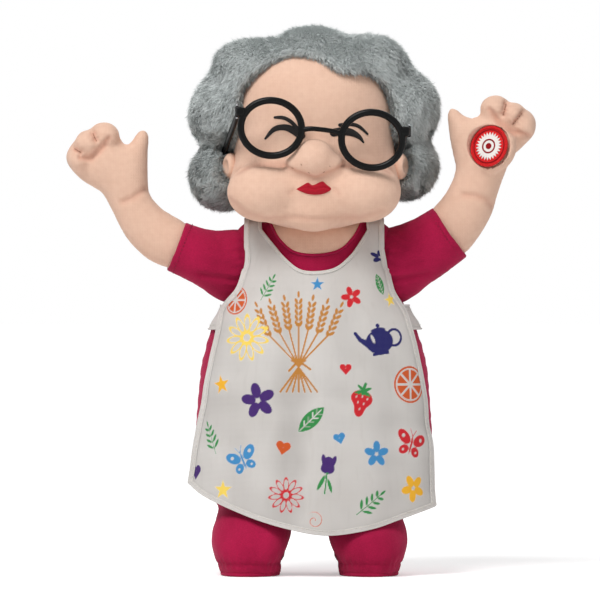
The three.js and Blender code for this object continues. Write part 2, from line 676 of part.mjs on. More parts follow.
function housingBack() {
  const [trayLeft, trayRight] = [TRAY_SHIFT - TRAY_HALF_WIDTH, TRAY_SHIFT + TRAY_HALF_WIDTH];
  let shell = housingHalf(GAP / 2, HOUSING_BACK, false);
  for (const [x, z] of SCREW_SPOTS) {
    shell = join(shell, bar("y", BOSS_RADIUS, GAP / 2, HOUSING_BACK - 1, [x, z], 8));
    shell = cut(
      shell,
      bar("y", SCREW_RADIUS + GAP, -5, HOUSING_BACK + 1, [x, z], 8),
      bar("y", SCREW_HEAD_RADIUS + GAP, 5, HOUSING_BACK + 1, [x, z], 8),
    );
  }
  const tray = box(
    trayLeft - TRAY_WALL, trayRight + TRAY_WALL, TRAY_FLOOR - TRAY_WALL, HOUSING_BACK - 1,
    TRAY_BOTTOM - TRAY_WALL, TRAY_TOP + TRAY_WALL,
  );
  const ledge = box(
    DOOR_X[0] - LEDGE, DOOR_X[1] + LEDGE, DOOR_FRONT - GAP - TRAY_WALL, HOUSING_BACK - 1,
    DOOR_Z[0] - LEDGE, DOOR_Z[1] + LEDGE,
  );
  const screwBoss = bar("y", BOSS_RADIUS, DOOR_FRONT - DOOR_SCREW_LENGTH - 2, DOOR_FRONT - 1, DOOR_SCREW, 8);
  shell = join(shell, tray, ledge, screwBoss);
  const doorZ = [DOOR_Z[0] - GAP, DOOR_Z[1] + GAP];
  return cut(
    shell,
    box(trayLeft, trayRight, TRAY_FLOOR, HOUSING_BACK + 1, TRAY_BOTTOM, TRAY_TOP),
    box(DOOR_X[0] - GAP, DOOR_X[1] + GAP, DOOR_FRONT - GAP, HOUSING_BACK + 1, ...doorZ),
    bar("y", SCREW_RADIUS + GAP, DOOR_FRONT - DOOR_SCREW_LENGTH, HOUSING_BACK + 1, DOOR_SCREW, 8),
    bar("z", WAIST_POST_RADIUS + RUNNING, HOUSING_FLOOR - 1, FLOOR_TOP + 1),
    switchSlot(),
  );
}

const switchSlot = () =>
  box(
    SWITCH_X - SWITCH_KNOB[0] / 2 - RUNNING, SWITCH_X + SWITCH_KNOB[0] / 2 + RUNNING,
    HOUSING_BACK - HOUSING_WALL - 1, HOUSING_BACK + 1,
    SWITCH_Z - SWITCH_KNOB[1] / 2 - RUNNING, SWITCH_Z + SWITCH_KNOB[1] / 2 + SWITCH_TRAVEL + RUNNING,
  );

// What the housing holds

function gearbox() {
  const [width, depth, height] = GEARBOX_SIZE;
  const back = INNER_FRONT + GAP + depth;
  const body = box(-width / 2, width / 2, INNER_FRONT + GAP, back, FLOOR_TOP + GAP, FLOOR_TOP + GAP + height);
  const shaft = [0, -GEAR_CENTRES];
  return cut(body, bar("z", PINION_SHAFT_RADIUS + RUNNING, FLOOR_TOP - 1, SHAFT_TOP + 1, shaft, 10));
}

function motor() {
  const start = INNER_FRONT + GAP + GEARBOX_SIZE[1] + GAP;
  const z = FLOOR_TOP + GAP + GEARBOX_SIZE[2] - MOTOR_RADIUS;
  const end = start + MOTOR_LENGTH;
  const can = bar("y", MOTOR_RADIUS, start, end, [0, z]);
  const flats = [-1, 1].map((side) => {
    const [near, far] = [side * MOTOR_HALF_FLATS, side * MOTOR_RADIUS * 1.2].sort((a, b) => a - b);
    return box(near, far, start - 1, end + 1, z - MOTOR_RADIUS, z + MOTOR_RADIUS);
  });
  return join(cut(can, ...flats), bar("y", MOTOR_BOSS_RADIUS, end - 1, end + 2, [0, z], 10));
}

function speaker() {
  const profile = [
    [0, 2.6],
    [5, 2.6],
    [SPEAKER_RADIUS * 0.8, 0.6],
    [SPEAKER_RADIUS, 0.6],
    [SPEAKER_RADIUS, 2.4],
    [SPEAKER_RADIUS * 0.52, SPEAKER_DEPTH * 0.55],
    [SPEAKER_RADIUS * 0.52, SPEAKER_DEPTH],
    [0, SPEAKER_DEPTH],
  ];
  return turned(profile, 18).rotate(-90, 0, 0).translate(0, INNER_FRONT - 0.6 + GAP, SPEAKER_Z);
}

const circuitBoard = () =>
  box(
    -BOARD_SIZE[0] / 2, BOARD_SIZE[0] / 2, BOARD_FACE, BOARD_FACE + BOARD_THICKNESS,
    BOARD_BOTTOM, BOARD_BOTTOM + BOARD_SIZE[1],
  );

function battery(place) {
  const x = TRAY_SHIFT + (place - (BATTERY_COUNT - 1) / 2) * BATTERY_PITCH;
  const [shoulder, cap] = [BATTERY_LENGTH - BATTERY_CAP_HEIGHT, BATTERY_CAP_RADIUS];
  const cell = turned([[0, 0], [BATTERY_RADIUS, 0], [BATTERY_RADIUS, shoulder], [cap, shoulder],
    [cap, BATTERY_LENGTH], [0, BATTERY_LENGTH]], 14);
  const turnedOver = place % 2 === 1;
  const upright = turnedOver ? cell.rotate(180, 0, 0).translate(0, 0, BATTERY_LENGTH) : cell;
  return upright.translate(x, TRAY_FLOOR + GAP + BATTERY_RADIUS, TRAY_BOTTOM + GAP);
}

function batteryDoor() {
  const plate = box(DOOR_X[0], DOOR_X[1], DOOR_FRONT, HOUSING_BACK, DOOR_Z[0], DOOR_Z[1]);
  const ribs = [0, 1, 2].map((k) => {
    const z = DOOR_Z[0] + 6 + 3.4 * k;
    return box(DOOR_SCREW[0] - 9, DOOR_SCREW[0] + 9, HOUSING_BACK - 0.5, HOUSING_BACK + 0.8, z, z + 1.4);
  });
  return cut(
    join(plate, ...ribs),
    bar("y", SCREW_RADIUS + GAP, DOOR_FRONT - 3, HOUSING_BACK + 1, DOOR_SCREW, 8),
    bar("y", SCREW_HEAD_RADIUS + GAP, HOUSING_BACK + 0.9 - SCREW_HEAD_THICKNESS - GAP, HOUSING_BACK + 2,
      DOOR_SCREW, 10),
  );
}

const backScrew = (x, z, headTop, length) =>
  screw(0, length).rotate(-90, 0, 0).translate(x, headTop, z);

function powerSwitch() {
  const [width, height] = SWITCH_KNOB;
  const knob = box(
    SWITCH_X - width / 2, SWITCH_X + width / 2, HOUSING_BACK - HOUSING_WALL - 0.5, HOUSING_BACK + 2,
    SWITCH_Z - height / 2, SWITCH_Z + height / 2,
  );
  const grip = [-1, 0, 1].map((k) =>
    box(SWITCH_X - width, SWITCH_X + width, HOUSING_BACK + 1.4, HOUSING_BACK + 3,
      SWITCH_Z + 2 * k - 0.4, SWITCH_Z + 2 * k + 0.4));
  return cut(knob, ...grip);
}

// Shoulders, arms and neck

const SHOULDERS = { left: 1, right: -1 };

function yoke() {
  const [halfDepth, eyeRadius] = [YOKE_DEPTH / 2, YOKE_HEIGHT / 2];
  const beam = box(-SHOULDER_OUT, SHOULDER_OUT, -halfDepth, halfDepth, YOKE_BOTTOM, YOKE_TOP);
  const base = box(-20, 20, -halfDepth, halfDepth, HOUSING_TOP + GAP, YOKE_BOTTOM + 1);
  let whole = join(beam, base);
  for (const side of Object.values(SHOULDERS)) {
    const x = side * SHOULDER_OUT;
    const place = [x, SHOULDER_HEIGHT];
    whole = join(whole, bar("y", eyeRadius, -halfDepth, halfDepth, place));
    const slot = EYE_THICKNESS / 2 + GAP;
    const [near, far] = [x - side * (eyeRadius + 4), x + side * (eyeRadius + 1)].sort((a, b) => a - b);
    whole = cut(
      whole,
      box(near, far, -slot, slot, YOKE_BOTTOM - 1, YOKE_TOP + 1),
      bar("y", PIN_RADIUS + RUNNING / 2, -halfDepth - 1, halfDepth + 1, place, 10),
    );
  }
  return whole;
}

function shoulderPin(side) {
  const place = [side * SHOULDER_OUT, SHOULDER_HEIGHT];
  const underHead = -YOKE_DEPTH / 2 - GAP;
  const shank = bar("y", PIN_RADIUS, underHead - PIN_HEAD_THICKNESS / 2, YOKE_DEPTH / 2, place, 10);
  const pinHead = bar("y", PIN_HEAD_RADIUS, underHead - PIN_HEAD_THICKNESS, underHead, place, 10);
  return join(shank, pinHead);
}

const SLEEVES = { left: LEFT_SLEEVE, right: RIGHT_SLEEVE };
const HANDS = { left: LEFT_HAND, right: RIGHT_HAND };
const FINGERS = { left: LEFT_FINGERS, right: RIGHT_FINGERS };
const THUMBS = { left: LEFT_THUMB, right: RIGHT_THUMB };

const ELBOWS = {
  left: [SHOULDER_OUT + 16, -1, SHOULDER_HEIGHT + 6.5],
  right: [-SHOULDER_OUT - 16, -1, SHOULDER_HEIGHT + 3.5],
};

// The line of an arm's rod: from its eye through the sleeve and up the middle of the forearm.
function rodPath(name) {
  const start = [SHOULDERS[name] * (SHOULDER_OUT + 3), 0, SHOULDER_HEIGHT];
  const forearm = HANDS[name].slice(0, 4).map(([x, y, z]) => [x, y, z]);
  return [start, ELBOWS[name], ...forearm];
}

function armRod(name) {
  const place = [SHOULDERS[name] * SHOULDER_OUT, SHOULDER_HEIGHT];
  const eye = bar("y", YOKE_HEIGHT / 2, -EYE_THICKNESS / 2, EYE_THICKNESS / 2, place);
  const rod = tube(rodPath(name), ARM_ROD_RADIUS);
  return cut(join(eye, rod), bar("y", PIN_RADIUS + RUNNING, -EYE_THICKNESS, EYE_THICKNESS, place, 10));
}

const rodChannel = (name) => tube(rodPath(name), ARM_ROD_RADIUS + GAP);

const shoulderBall = (side, margin) =>
  ball(
    [side * SHOULDER_OUT, 0, SHOULDER_HEIGHT, SHOULDER_BALL + margin, SHOULDER_BALL_DEPTH + margin,
      SHOULDER_BALL + margin],
    SHOULDER_FACETS,
  );

function sleeve(name) {
  const side = SHOULDERS[name];
  const x = side * SHOULDER_OUT;
  const slot = YOKE_DEPTH / 2 + 3;
  const [near, far] = [x - side * (SHOULDER_BALL + 2), x].sort((a, b) => a - b);
  return cut(
    join(shoulderBall(side, 0), limb(SLEEVES[name], 0, SLEEVE_FACETS)),
    limb(HANDS[name], SEW_GAP),
    rodChannel(name),
    box(near, far, -slot, slot, SHOULDER_HEIGHT - SHOULDER_BALL - 2, SHOULDER_HEIGHT + SHOULDER_BALL + 2),
    bar("y", YOKE_HEIGHT, -slot, slot, [x, SHOULDER_HEIGHT]),
  );
}

function pressFrame() {
  const turn = new THREE.Quaternion().setFromUnitVectors(new THREE.Vector3(0, 0, 1), PRESS_FACING);
  return new THREE.Matrix4().compose(new THREE.Vector3(...PRESS_PLACE), turn, new THREE.Vector3(1, 1, 1));
}
// A solid made round the z axis, with z = 0 at the press patch's face, moved into the palm.
const inPalm = (solid) => solid.transform(pressFrame().elements);

function hand(name) {
  const lobes = FINGERS[name].map((row) => ball(row));
  let whole = join(limb(HANDS[name]), limb(THUMBS[name], 0, THUMB_FACETS), ...lobes);
  whole = cut(whole, rodChannel(name));
  if (name === "right") return whole;
  const mound = inPalm(ball([0, 0, -7, PRESS_PATCH_RADIUS + 3.4, PRESS_PATCH_RADIUS + 3.4, 6.6], [12, 5]));
  const well = PRESS_PATCH_THICKNESS + PRESS_TRAVEL + 2 * GAP;
  const caseRadius = PRESS_CASE_RADIUS + GAP;
  return cut(
    join(whole, mound),
    inPalm(bar("z", PRESS_PATCH_RADIUS + 0.5, -well, 12, [0, 0], 16)),
    inPalm(bar("z", caseRadius, -well - PRESS_CASE_DEPTH - GAP, 0, [0, 0], 12)),
  );
}

const PRESS_CASE_TOP = -(PRESS_PATCH_THICKNESS + PRESS_TRAVEL + 2 * GAP);

function pressCase() {
  const bottom = PRESS_CASE_TOP - PRESS_CASE_DEPTH;
  const cup = bar("z", PRESS_CASE_RADIUS, bottom, PRESS_CASE_TOP, [0, 0], 12);
  return inPalm(cut(cup, bar("z", PRESS_STEM_RADIUS + RUNNING, bottom + PRESS_CASE_WALL, 0, [0, 0], 14)));
}

const pressPatch = () =>
  inPalm(bar("z", PRESS_PATCH_RADIUS, -PRESS_PATCH_THICKNESS, 0, [0, 0], 16));
const pressPlunger = () => {
  const top = -PRESS_PATCH_THICKNESS - GAP;
  return inPalm(bar("z", PRESS_STEM_RADIUS, top - PRESS_STEM_LENGTH, top, [0, 0], 12));
};

function neckPost() {
  const [flangeRadius, flangeThickness] = NECK_FLANGE;
  return join(
    bar("z", flangeRadius, YOKE_TOP + GAP, YOKE_TOP + GAP + flangeThickness),
    bar("z", NECK_POST_RADIUS, YOKE_TOP + GAP, NECK_TOP),
  );
}

function headSocket(margin = 0) {
  const plateBottom = NECK_TOP - HEAD_PLATE_THICKNESS;
  return join(
    bar("z", NECK_SLEEVE_RADIUS + margin, SLEEVE_BOTTOM - margin, NECK_TOP),
    bar("z", HEAD_PLATE_RADIUS + margin, plateBottom - margin, NECK_TOP + margin, [0, 0], 20),
  );
}
const neckBore = () => bar("z", NECK_POST_RADIUS + RUNNING, SLEEVE_BOTTOM - 1, NECK_TOP + GAP + 1);

// Head

const NOSE = [0, -56.5, NECK_TOP + 30.5, 12.6, 10.5, 12];
const NOSTRILS = [-1, 1].map((side) => [side * 11.5, -53, NECK_TOP + 26.5, 7.6, 8.5, 6.6]);
const CHEEKS = [-1, 1].map((side) => [side * 32, -44, NECK_TOP + 10, 23, 19, 18]);
const CHIN = [-1, -46, NECK_TOP - 3, 17, 12, 12];
const EARS = {
  left: [55.4, -13, NECK_TOP + 26, 5.4, 8, 8.6],
  right: [-53.6, -13, NECK_TOP + 26, 5.4, 8, 8.6],
};

const headForm = (margin = 0) =>
  join(
    upright(HEAD_SECTIONS, margin, HEAD_FACETS),
    ...[NOSE, ...NOSTRILS, ...CHEEKS, CHIN].map(([x, y, z, ...radii]) =>
      ball([x, y, z, ...radii.map((r) => r + margin)]),
    ),
  );

const neckRecess = () => bar("z", NECK_RADIUS + SEW_GAP, YOKE_TOP, NECK_SKIN_TOP + SEW_GAP, [0, 0], 20);
const head = () => cut(headForm(), headSocket(GAP), neckBore(), neckRecess());
const ear = (name, margin = 0) => {
  const [x, y, z, ...radii] = EARS[name];
  return cut(ball([x, y, z, ...radii.map((r) => r + margin)]), headForm(GAP));
};

function wig() {
  const lobes = join(...WIG_LOBES.map((row) => ball(row)));
  const clearances = Object.keys(EARS).flatMap((name) => {
    const [x, y, z, ...radii] = EARS[name];
    return [ball([x, y, z, ...radii.map((r) => r + SEW_GAP)]), temple(name, SEW_GAP)];
  });
  const whole = cut(lobes, headForm(GAP), ...clearances);
  return whole.decompose().sort((a, b) => b.volume() - a.volume())[0];
}

// Glasses, made level about their middle and then tilted

const tilted = (solid) => {
  const [x, y, z] = GLASSES_PLACE;
  return solid.rotate(0, THREE.MathUtils.radToDeg(GLASSES_TILT), 0).translate(x, y, z);
};
const hingePoint = (side) => {
  const across = side * (RIM_SPACING / 2 + RIM_HALF_WIDTH + END_BLOCK_OVERHANG);
  const place = new THREE.Vector3(across, END_BLOCK[1] / 2 + GAP, TEMPLE_LIFT);
  place.applyAxisAngle(new THREE.Vector3(0, 1, 0), GLASSES_TILT);
  return place.add(new THREE.Vector3(...GLASSES_PLACE));
};

function glassesFront() {
  const rims = [-1, 1].map((side) => {
    const ring = new THREE.TorusGeometry(1, RIM_TUBE / RIM_HALF_WIDTH, 6, 20);
    ring.scale(RIM_HALF_WIDTH - RIM_TUBE, RIM_HALF_HEIGHT - RIM_TUBE, RIM_HALF_WIDTH);
    return toSolid(ring.rotateX(Math.PI / 2).translate((side * RIM_SPACING) / 2, 0, 0));
  });
  const inner = RIM_SPACING / 2 - RIM_HALF_WIDTH + RIM_TUBE;
  const arch = [[-inner, 0, 1], [-inner / 2, 0, 2.6], [inner / 2, 0, 2.6], [inner, 0, 1]];
  const bridge = tube(arch, RIM_TUBE, 5);
  const blocks = [-1, 1].map((side) => {
    const x = side * (RIM_SPACING / 2 + RIM_HALF_WIDTH + END_BLOCK_OVERHANG);
    const [width, depth, height] = END_BLOCK;
    return box(x - width / 2, x + width / 2, -depth / 2, depth / 2, TEMPLE_LIFT - height / 2,
      TEMPLE_LIFT + height / 2);
  });
  return tilted(join(...rims, bridge, ...blocks));
}

function temple(name, margin = 0) {
  const side = SHOULDERS[name];
  const start = hingePoint(side);
  const [x, y, z] = TEMPLE_REST;
  const points = [
    start.toArray(),
    [start.x, start.y + 4, start.z],
    [(start.x * 2 + side * x) / 3, (start.y * 2 + y) / 3, (start.z * 2 + z) / 3 + 1],
    [side * x, y, z],
    [side * (x + 0.5), y + 10, z - 2.5],
    [side * x, y + 19, z - 8],
  ];
  return tube(points, TEMPLE_RADIUS + margin, 9);
}

// Cloth

const APRON_SECTIONS = [...APRON_SKIRT, ...TRUNK_SECTIONS.filter(([z]) => z > APRON_SKIRT.at(-1)[0] + 4)];
const clothShell = (sections, standOff, thickness) =>
  cut(upright(sections, standOff + thickness), upright(sections, standOff));

function outlineOf(points) {
  const shape = new THREE.Shape();
  const corners = points.map(([x, z]) => new THREE.Vector3(x, z, 0));
  const curve = new THREE.CatmullRomCurve3(corners, true, "catmullrom", 0.4);
  shape.setFromPoints(curve.getPoints(points.length).map((p) => new THREE.Vector2(p.x, p.y)));
  return shape;
}

// The front edge of the apron, seen from the front: straps, armholes, sides, hem and neckline.
const APRON_OUTLINE = [
  [-44, SHOULDER_HEIGHT + 35], [-43.7, SHOULDER_HEIGHT + 11], [-45.6, SHOULDER_HEIGHT - 2],
  [-50, SHOULDER_HEIGHT - 14.5], [-60.5, SHOULDER_HEIGHT - 25.5], [-66, SHOULDER_HEIGHT - 41],
  [-71, 134], [-75, 105], [-77.5, 80], [-79, 58.5], [-66.8, 50], [-41, 38.4], [-15.6, 30.7],
  [8.8, 27], [35.6, 30.7], [54.8, 37], [76, 45], [77, 74], [75.4, 95], [71, 134],
  [66, SHOULDER_HEIGHT - 46], [59.5, SHOULDER_HEIGHT - 27], [50.5, SHOULDER_HEIGHT - 14],
  [47.6, SHOULDER_HEIGHT - 1], [46.6, SHOULDER_HEIGHT + 11], [45, SHOULDER_HEIGHT + 35],
  [36, SHOULDER_HEIGHT + 35], [30.5, SHOULDER_HEIGHT + 17.4], [24, SHOULDER_HEIGHT + 7.8],
  [14, SHOULDER_HEIGHT - 0.5], [2.4, SHOULDER_HEIGHT - 3.1], [-9.2, SHOULDER_HEIGHT - 1.8],
  [-18.8, SHOULDER_HEIGHT + 5.9], [-27, SHOULDER_HEIGHT + 17.4], [-34, SHOULDER_HEIGHT + 35],
];
const NECK_SKIN_OUTLINE = [
  [-31, SHOULDER_HEIGHT + 35], [-28, SHOULDER_HEIGHT + 28], [-22, SHOULDER_HEIGHT + 17.4],
  [-12.4, SHOULDER_HEIGHT + 9.5], [2.4, SHOULDER_HEIGHT + 7.8], [16.4, SHOULDER_HEIGHT + 11],
  [25, SHOULDER_HEIGHT + 19], [30, SHOULDER_HEIGHT + 28], [32, SHOULDER_HEIGHT + 35],
];
const STRAP_BACK = 2; // where the apron's front ends over the shoulder and the straps go on
const STRAP_WIDTH = [35, 45]; // from the middle
const STRAP_ROOM = 1.2; // round the shoulders

const apronFront = () => frontal(outlineOf(APRON_OUTLINE), -BEYOND, STRAP_BACK);

const shoulderRooms = (margin) => Object.values(SHOULDERS).map((side) => shoulderBall(side, margin));

function apron() {
  const shell = clothShell(APRON_SECTIONS, APRON_STAND_OFF, APRON_THICKNESS);
  return cut(shell.intersect(apronFront()), ...shoulderRooms(STRAP_ROOM));
}

// A strap is folded double, so that it lies on the trunk and meets the apron's front.
function apronStrap(side) {
  const shell = clothShell(TRUNK_SECTIONS, GAP, APRON_STAND_OFF - GAP + APRON_THICKNESS);
  const [near, far] = STRAP_WIDTH.map((reach) => side * reach).sort((a, b) => a - b);
  const room = box(near, far, STRAP_BACK + GAP, BEYOND, APRON_TAB_TOP + GAP, NECK_TOP);
  return cut(shell.intersect(room), ...shoulderRooms(STRAP_ROOM));
}

function apronTab(side) {
  const shell = clothShell(TRUNK_SECTIONS, APRON_STAND_OFF, APRON_THICKNESS);
  const [near, far] = [side * (GAP / 2), side * BEYOND].sort((a, b) => a - b);
  const room = box(near, far, -BEYOND, BEYOND, APRON_TAB_TOP - APRON_TAB_HEIGHT, APRON_TAB_TOP);
  const front = apronFront();
  const frontRoom = join(front, front.translate(GAP, 0, 0), front.translate(-GAP, 0, 0));
  return cut(shell.intersect(room), frontRoom, ...shoulderRooms(STRAP_ROOM));
}

function tabClosure() {
  const shell = clothShell(TRUNK_SECTIONS, APRON_STAND_OFF + APRON_THICKNESS + GAP, CLOSURE_THICKNESS);
  const half = CLOSURE_WIDTH / 2;
  const [bottom, top] = [APRON_TAB_TOP - APRON_TAB_HEIGHT + 2, APRON_TAB_TOP - 2];
  return shell.intersect(box(-half, half, 0, BEYOND, bottom, top));
}

// The chest panel and the short neck that it runs up into, which ends inside the head's recess.
function neckSkin() {
  const shell = clothShell(TRUNK_SECTIONS, GAP, PANEL_THICKNESS);
  const outline = frontal(outlineOf(NECK_SKIN_OUTLINE), -BEYOND, 0);
  const neck = bar("z", NECK_RADIUS, YOKE_TOP, NECK_SKIN_TOP);
  const whole = join(shell.intersect(outline), cut(neck, upright(TRUNK_SECTIONS, GAP)));
  return cut(whole, neckOpening(SEW_GAP));
}

// Stuffed trunk, hollow for what it covers

const neckOpening = (margin) =>
  bar("z", NECK_FLANGE[0] + 1 + margin, YOKE_BOTTOM, NECK_TOP);

// Half width, front and back of the hollows for the legs and for the gears
const LEG_ROOM = [68, -43, 39];
const GEAR_ROOM = [40, -36, 30];

function trunkCover() {
  const legRoom = skinOf([COVER_HEM - 5, 56, HIP_TOP + 2].map((z) => ringAt(z, ...LEG_ROOM, 16)));
  const gearRoom = skinOf([HIP_TOP + 1, HOUSING_FLOOR + 1].map((z) => ringAt(z, ...GEAR_ROOM, 14)));
  const housingRoom = box(
    -HOUSING_HALF_WIDTH - SEW_GAP, HOUSING_HALF_WIDTH + SEW_GAP, -HOUSING_FRONT - SEW_GAP,
    HOUSING_BACK + SEW_GAP, HOUSING_FLOOR - SEW_GAP, HOUSING_TOP + SEW_GAP,
  );
  const halfYoke = YOKE_DEPTH / 2 + SEW_GAP + 1;
  const yokeRoom = box(-SHOULDER_OUT, SHOULDER_OUT, -halfYoke, halfYoke, HOUSING_TOP, YOKE_TOP + SEW_GAP);
  const window = box(
    DOOR_X[0] - WINDOW_MARGIN, HOUSING_HALF_WIDTH - 1, HOUSING_BACK - 1, BEYOND,
    DOOR_Z[0] - WINDOW_MARGIN, DOOR_Z[1] + WINDOW_MARGIN,
  );
  return cut(
    upright(TRUNK_SECTIONS), legRoom, gearRoom, housingRoom, yokeRoom, neckOpening(0), window,
    ...shoulderRooms(SEW_GAP),
  );
}

// The assembly

const doll = new THREE.Group();
doll.position.x = TRUNK_SHIFT;

function add(name, solid, finish, x = 0) {
  const mesh = new THREE.Mesh(toGeometry(solid), finish);
  mesh.name = name;
  mesh.position.x = x;
  doll.add(mesh);
}

for (const [name, side] of Object.entries(SHOULDERS)) {
  const x = footCentre(side);
  add("leg_" + name, leg(), MAGENTA, x);
  add("sole_" + name, sole(), MAGENTA, x);
  add("foot_plate_" + name, footPlate(), NYLON, x);
  add("leg_post_" + name, legPost(), NYLON, x);
}
add("hip_base", hipBase(), NYLON);
add("waist_gear", waistGear(), NYLON);
add("waist_washer", waistWasher(), STEEL);
add("waist_screw", waistScrew(), STEEL);

add("trunk_cover", trunkCover(), MAGENTA);
add("neck_skin", neckSkin(), SKIN);
add("apron", apron(), APRON_CLOTH);
for (const [name, side] of Object.entries(SHOULDERS)) {
  add("apron_strap_" + name, apronStrap(side), APRON_CLOTH);
  add("apron_tab_" + name, apronTab(side), APRON_CLOTH);
}
add("apron_tab_closure", tabClosure(), APRON_CLOTH);

add("housing_front", housingFront(), SHELL_WHITE);
add("housing_back", housingBack(), SHELL_WHITE);
SCREW_SPOTS.forEach(([x, z], k) => add("housing_screw_" + (k + 1), backScrew(x, z, 9.5, 20), STEEL));
add("gearbox_case", gearbox(), NYLON);
add("motor_can", motor(), STEEL);
add("drive_pinion", drivePinion(), NYLON);
add("speaker", speaker(), SHELL_GREY);
add("circuit_board", circuitBoard(), BOARD_GREEN);
for (let k = 0; k < BATTERY_COUNT; k++) add("battery_" + (k + 1), battery(k), BATTERY_SLEEVE);
add("battery_door", batteryDoor(), SHELL_GREY);
add("battery_door_screw", backScrew(...DOOR_SCREW, HOUSING_BACK + 0.9, DOOR_SCREW_LENGTH - 2), STEEL);
add("power_switch", powerSwitch(), RIM_BLACK);

add("shoulder_yoke", yoke(), NYLON);
add("neck_post", neckPost(), NYLON);
for (const [name, side] of Object.entries(SHOULDERS)) {
  add("shoulder_pin_" + name, shoulderPin(side), STEEL);
  add("arm_rod_" + name, armRod(name), NYLON);
  add("sleeve_" + name, sleeve(name), MAGENTA);
  add("hand_" + name, hand(name), SKIN);
}
add("press_case", pressCase(), SHELL_WHITE);
add("press_plunger", pressPlunger(), SHELL_WHITE);
add("press_patch", pressPatch(), PATCH_RED);

add("head", head(), SKIN);
add("head_socket", cut(headSocket(), neckBore()), NYLON);
for (const name of Object.keys(EARS)) add("ear_" + name, ear(name), SKIN);
add("wig", wig(), FUR);
add("glasses_front", glassesFront(), RIM_BLACK);
for (const name of Object.keys(EARS)) add("glasses_temple_" + name, temple(name), RIM_BLACK);

export default doll;
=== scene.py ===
"""The looks of a stuffed grandma doll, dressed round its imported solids.

Lengths are in millimetres until a mesh is made.
"""
import json
import math

import bpy
import numpy as np
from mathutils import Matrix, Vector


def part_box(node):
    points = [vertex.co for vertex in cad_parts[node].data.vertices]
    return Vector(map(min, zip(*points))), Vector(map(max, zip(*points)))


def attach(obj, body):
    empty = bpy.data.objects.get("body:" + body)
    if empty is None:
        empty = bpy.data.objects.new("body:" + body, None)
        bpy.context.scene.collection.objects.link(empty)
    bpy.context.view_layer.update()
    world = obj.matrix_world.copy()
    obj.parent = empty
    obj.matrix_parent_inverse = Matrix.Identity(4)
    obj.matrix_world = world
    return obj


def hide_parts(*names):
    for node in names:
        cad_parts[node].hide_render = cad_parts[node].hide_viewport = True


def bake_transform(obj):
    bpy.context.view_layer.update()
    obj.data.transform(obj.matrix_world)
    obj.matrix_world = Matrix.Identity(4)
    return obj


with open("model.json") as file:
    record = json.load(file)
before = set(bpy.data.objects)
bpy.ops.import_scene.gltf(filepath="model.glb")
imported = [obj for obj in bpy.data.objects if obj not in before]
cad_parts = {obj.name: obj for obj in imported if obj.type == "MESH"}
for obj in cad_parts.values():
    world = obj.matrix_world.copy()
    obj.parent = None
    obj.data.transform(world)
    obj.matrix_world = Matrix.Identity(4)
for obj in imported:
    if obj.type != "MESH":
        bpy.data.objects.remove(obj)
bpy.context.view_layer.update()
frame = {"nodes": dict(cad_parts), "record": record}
MM = 0.001
RANDOM = np.random.default_rng(11)


def middle_of(node):
    low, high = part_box(node)
    return (np.array(low) + np.array(high)) / 2 / MM


# Every point below is measured from the trunk's own axis, which the waist gear is centred on
AXIS = np.array([middle_of("waist_gear")[0], 0.0, 0.0])


# The camera and the light

VIEW_WIDTH = 384.0
VIEW_DISTANCE = 4000.0
VIEW_CENTRE = (-0.6, -30.0, 176.0)
STUDIO_LIGHT = 0.33  # how strongly the air round the doll lights it


def make_camera():
    data = bpy.data.cameras.new("camera")
    camera = bpy.data.objects.new("camera", data)
    bpy.context.scene.collection.objects.link(camera)
    data.sensor_width = 36.0
    data.lens = data.sensor_width * VIEW_DISTANCE / VIEW_WIDTH
    data.clip_end = 50.0
    x, y, z = VIEW_CENTRE
    camera.location = (x * MM, (y - VIEW_DISTANCE) * MM, z * MM)
    camera.rotation_euler = (math.pi / 2, 0, 0)
    bpy.context.scene.camera = camera


def area_lamp(name, place, target, size, power):
    data = bpy.data.lights.new(name, "AREA")
    data.shape = "DISK"
    data.size = size
    data.energy = power
    lamp = bpy.data.objects.new(name, data)
    bpy.context.scene.collection.objects.link(lamp)
    lamp.location = place
    away = np.array(place) - np.array(target)
    lamp.rotation_euler = Vector(away).to_track_quat("Z", "Y").to_euler()


def place_lamps():
    """Three round lamps, placed in metres."""
    aim = (0, 0, 0.18)
    area_lamp("key", (-0.75, -1.5, 2.15), aim, 1.2, 45)
    area_lamp("fill", (1.6, -1.7, 0.6), aim, 1.8, 4)
    area_lamp("back", (0.3, 1.6, 1.8), aim, 1.2, 10)


def light_air():
    """Air that looks white, and lights the doll only softly."""
    world = bpy.data.worlds.new("studio")
    bpy.context.scene.world = world
    world.use_nodes = True
    tree = world.node_tree
    tree.nodes.clear()
    path = tree.nodes.new("ShaderNodeLightPath")
    studio, white = (tree.nodes.new("ShaderNodeBackground") for _ in range(2))
    for air, strength in ((studio, STUDIO_LIGHT), (white, 1.0)):
        air.inputs["Color"].default_value = (1, 1, 1, 1)
        air.inputs["Strength"].default_value = strength
    choose = tree.nodes.new("ShaderNodeMixShader")
    out = tree.nodes.new("ShaderNodeOutputWorld")
    glossy, seen = (tree.nodes.new("ShaderNodeMath") for _ in range(2))
    tree.links.new(path.outputs["Is Camera Ray"], glossy.inputs[0])
    tree.links.new(path.outputs["Is Glossy Ray"], glossy.inputs[1])
    tree.links.new(glossy.outputs[0], seen.inputs[0])
    tree.links.new(path.outputs["Is Transmission Ray"], seen.inputs[1])
    tree.links.new(seen.outputs[0], choose.inputs[0])
    tree.links.new(studio.outputs[0], choose.inputs[1])
    tree.links.new(white.outputs[0], choose.inputs[2])
    tree.links.new(choose.outputs[0], out.inputs[0])


make_camera()
place_lamps()
light_air()
bpy.context.scene.view_settings.view_transform = "Standard"


# Materials


def colour(red, green, blue):
    """A colour written as it looks on a screen, 0 to 255, as the shader's linear one."""
    shares = np.array([red, green, blue]) / 255
    linear = np.where(shares <= 0.04045, shares / 12.92, ((shares + 0.055) / 1.055) ** 2.4)
    return (*map(float, linear), 1.0)


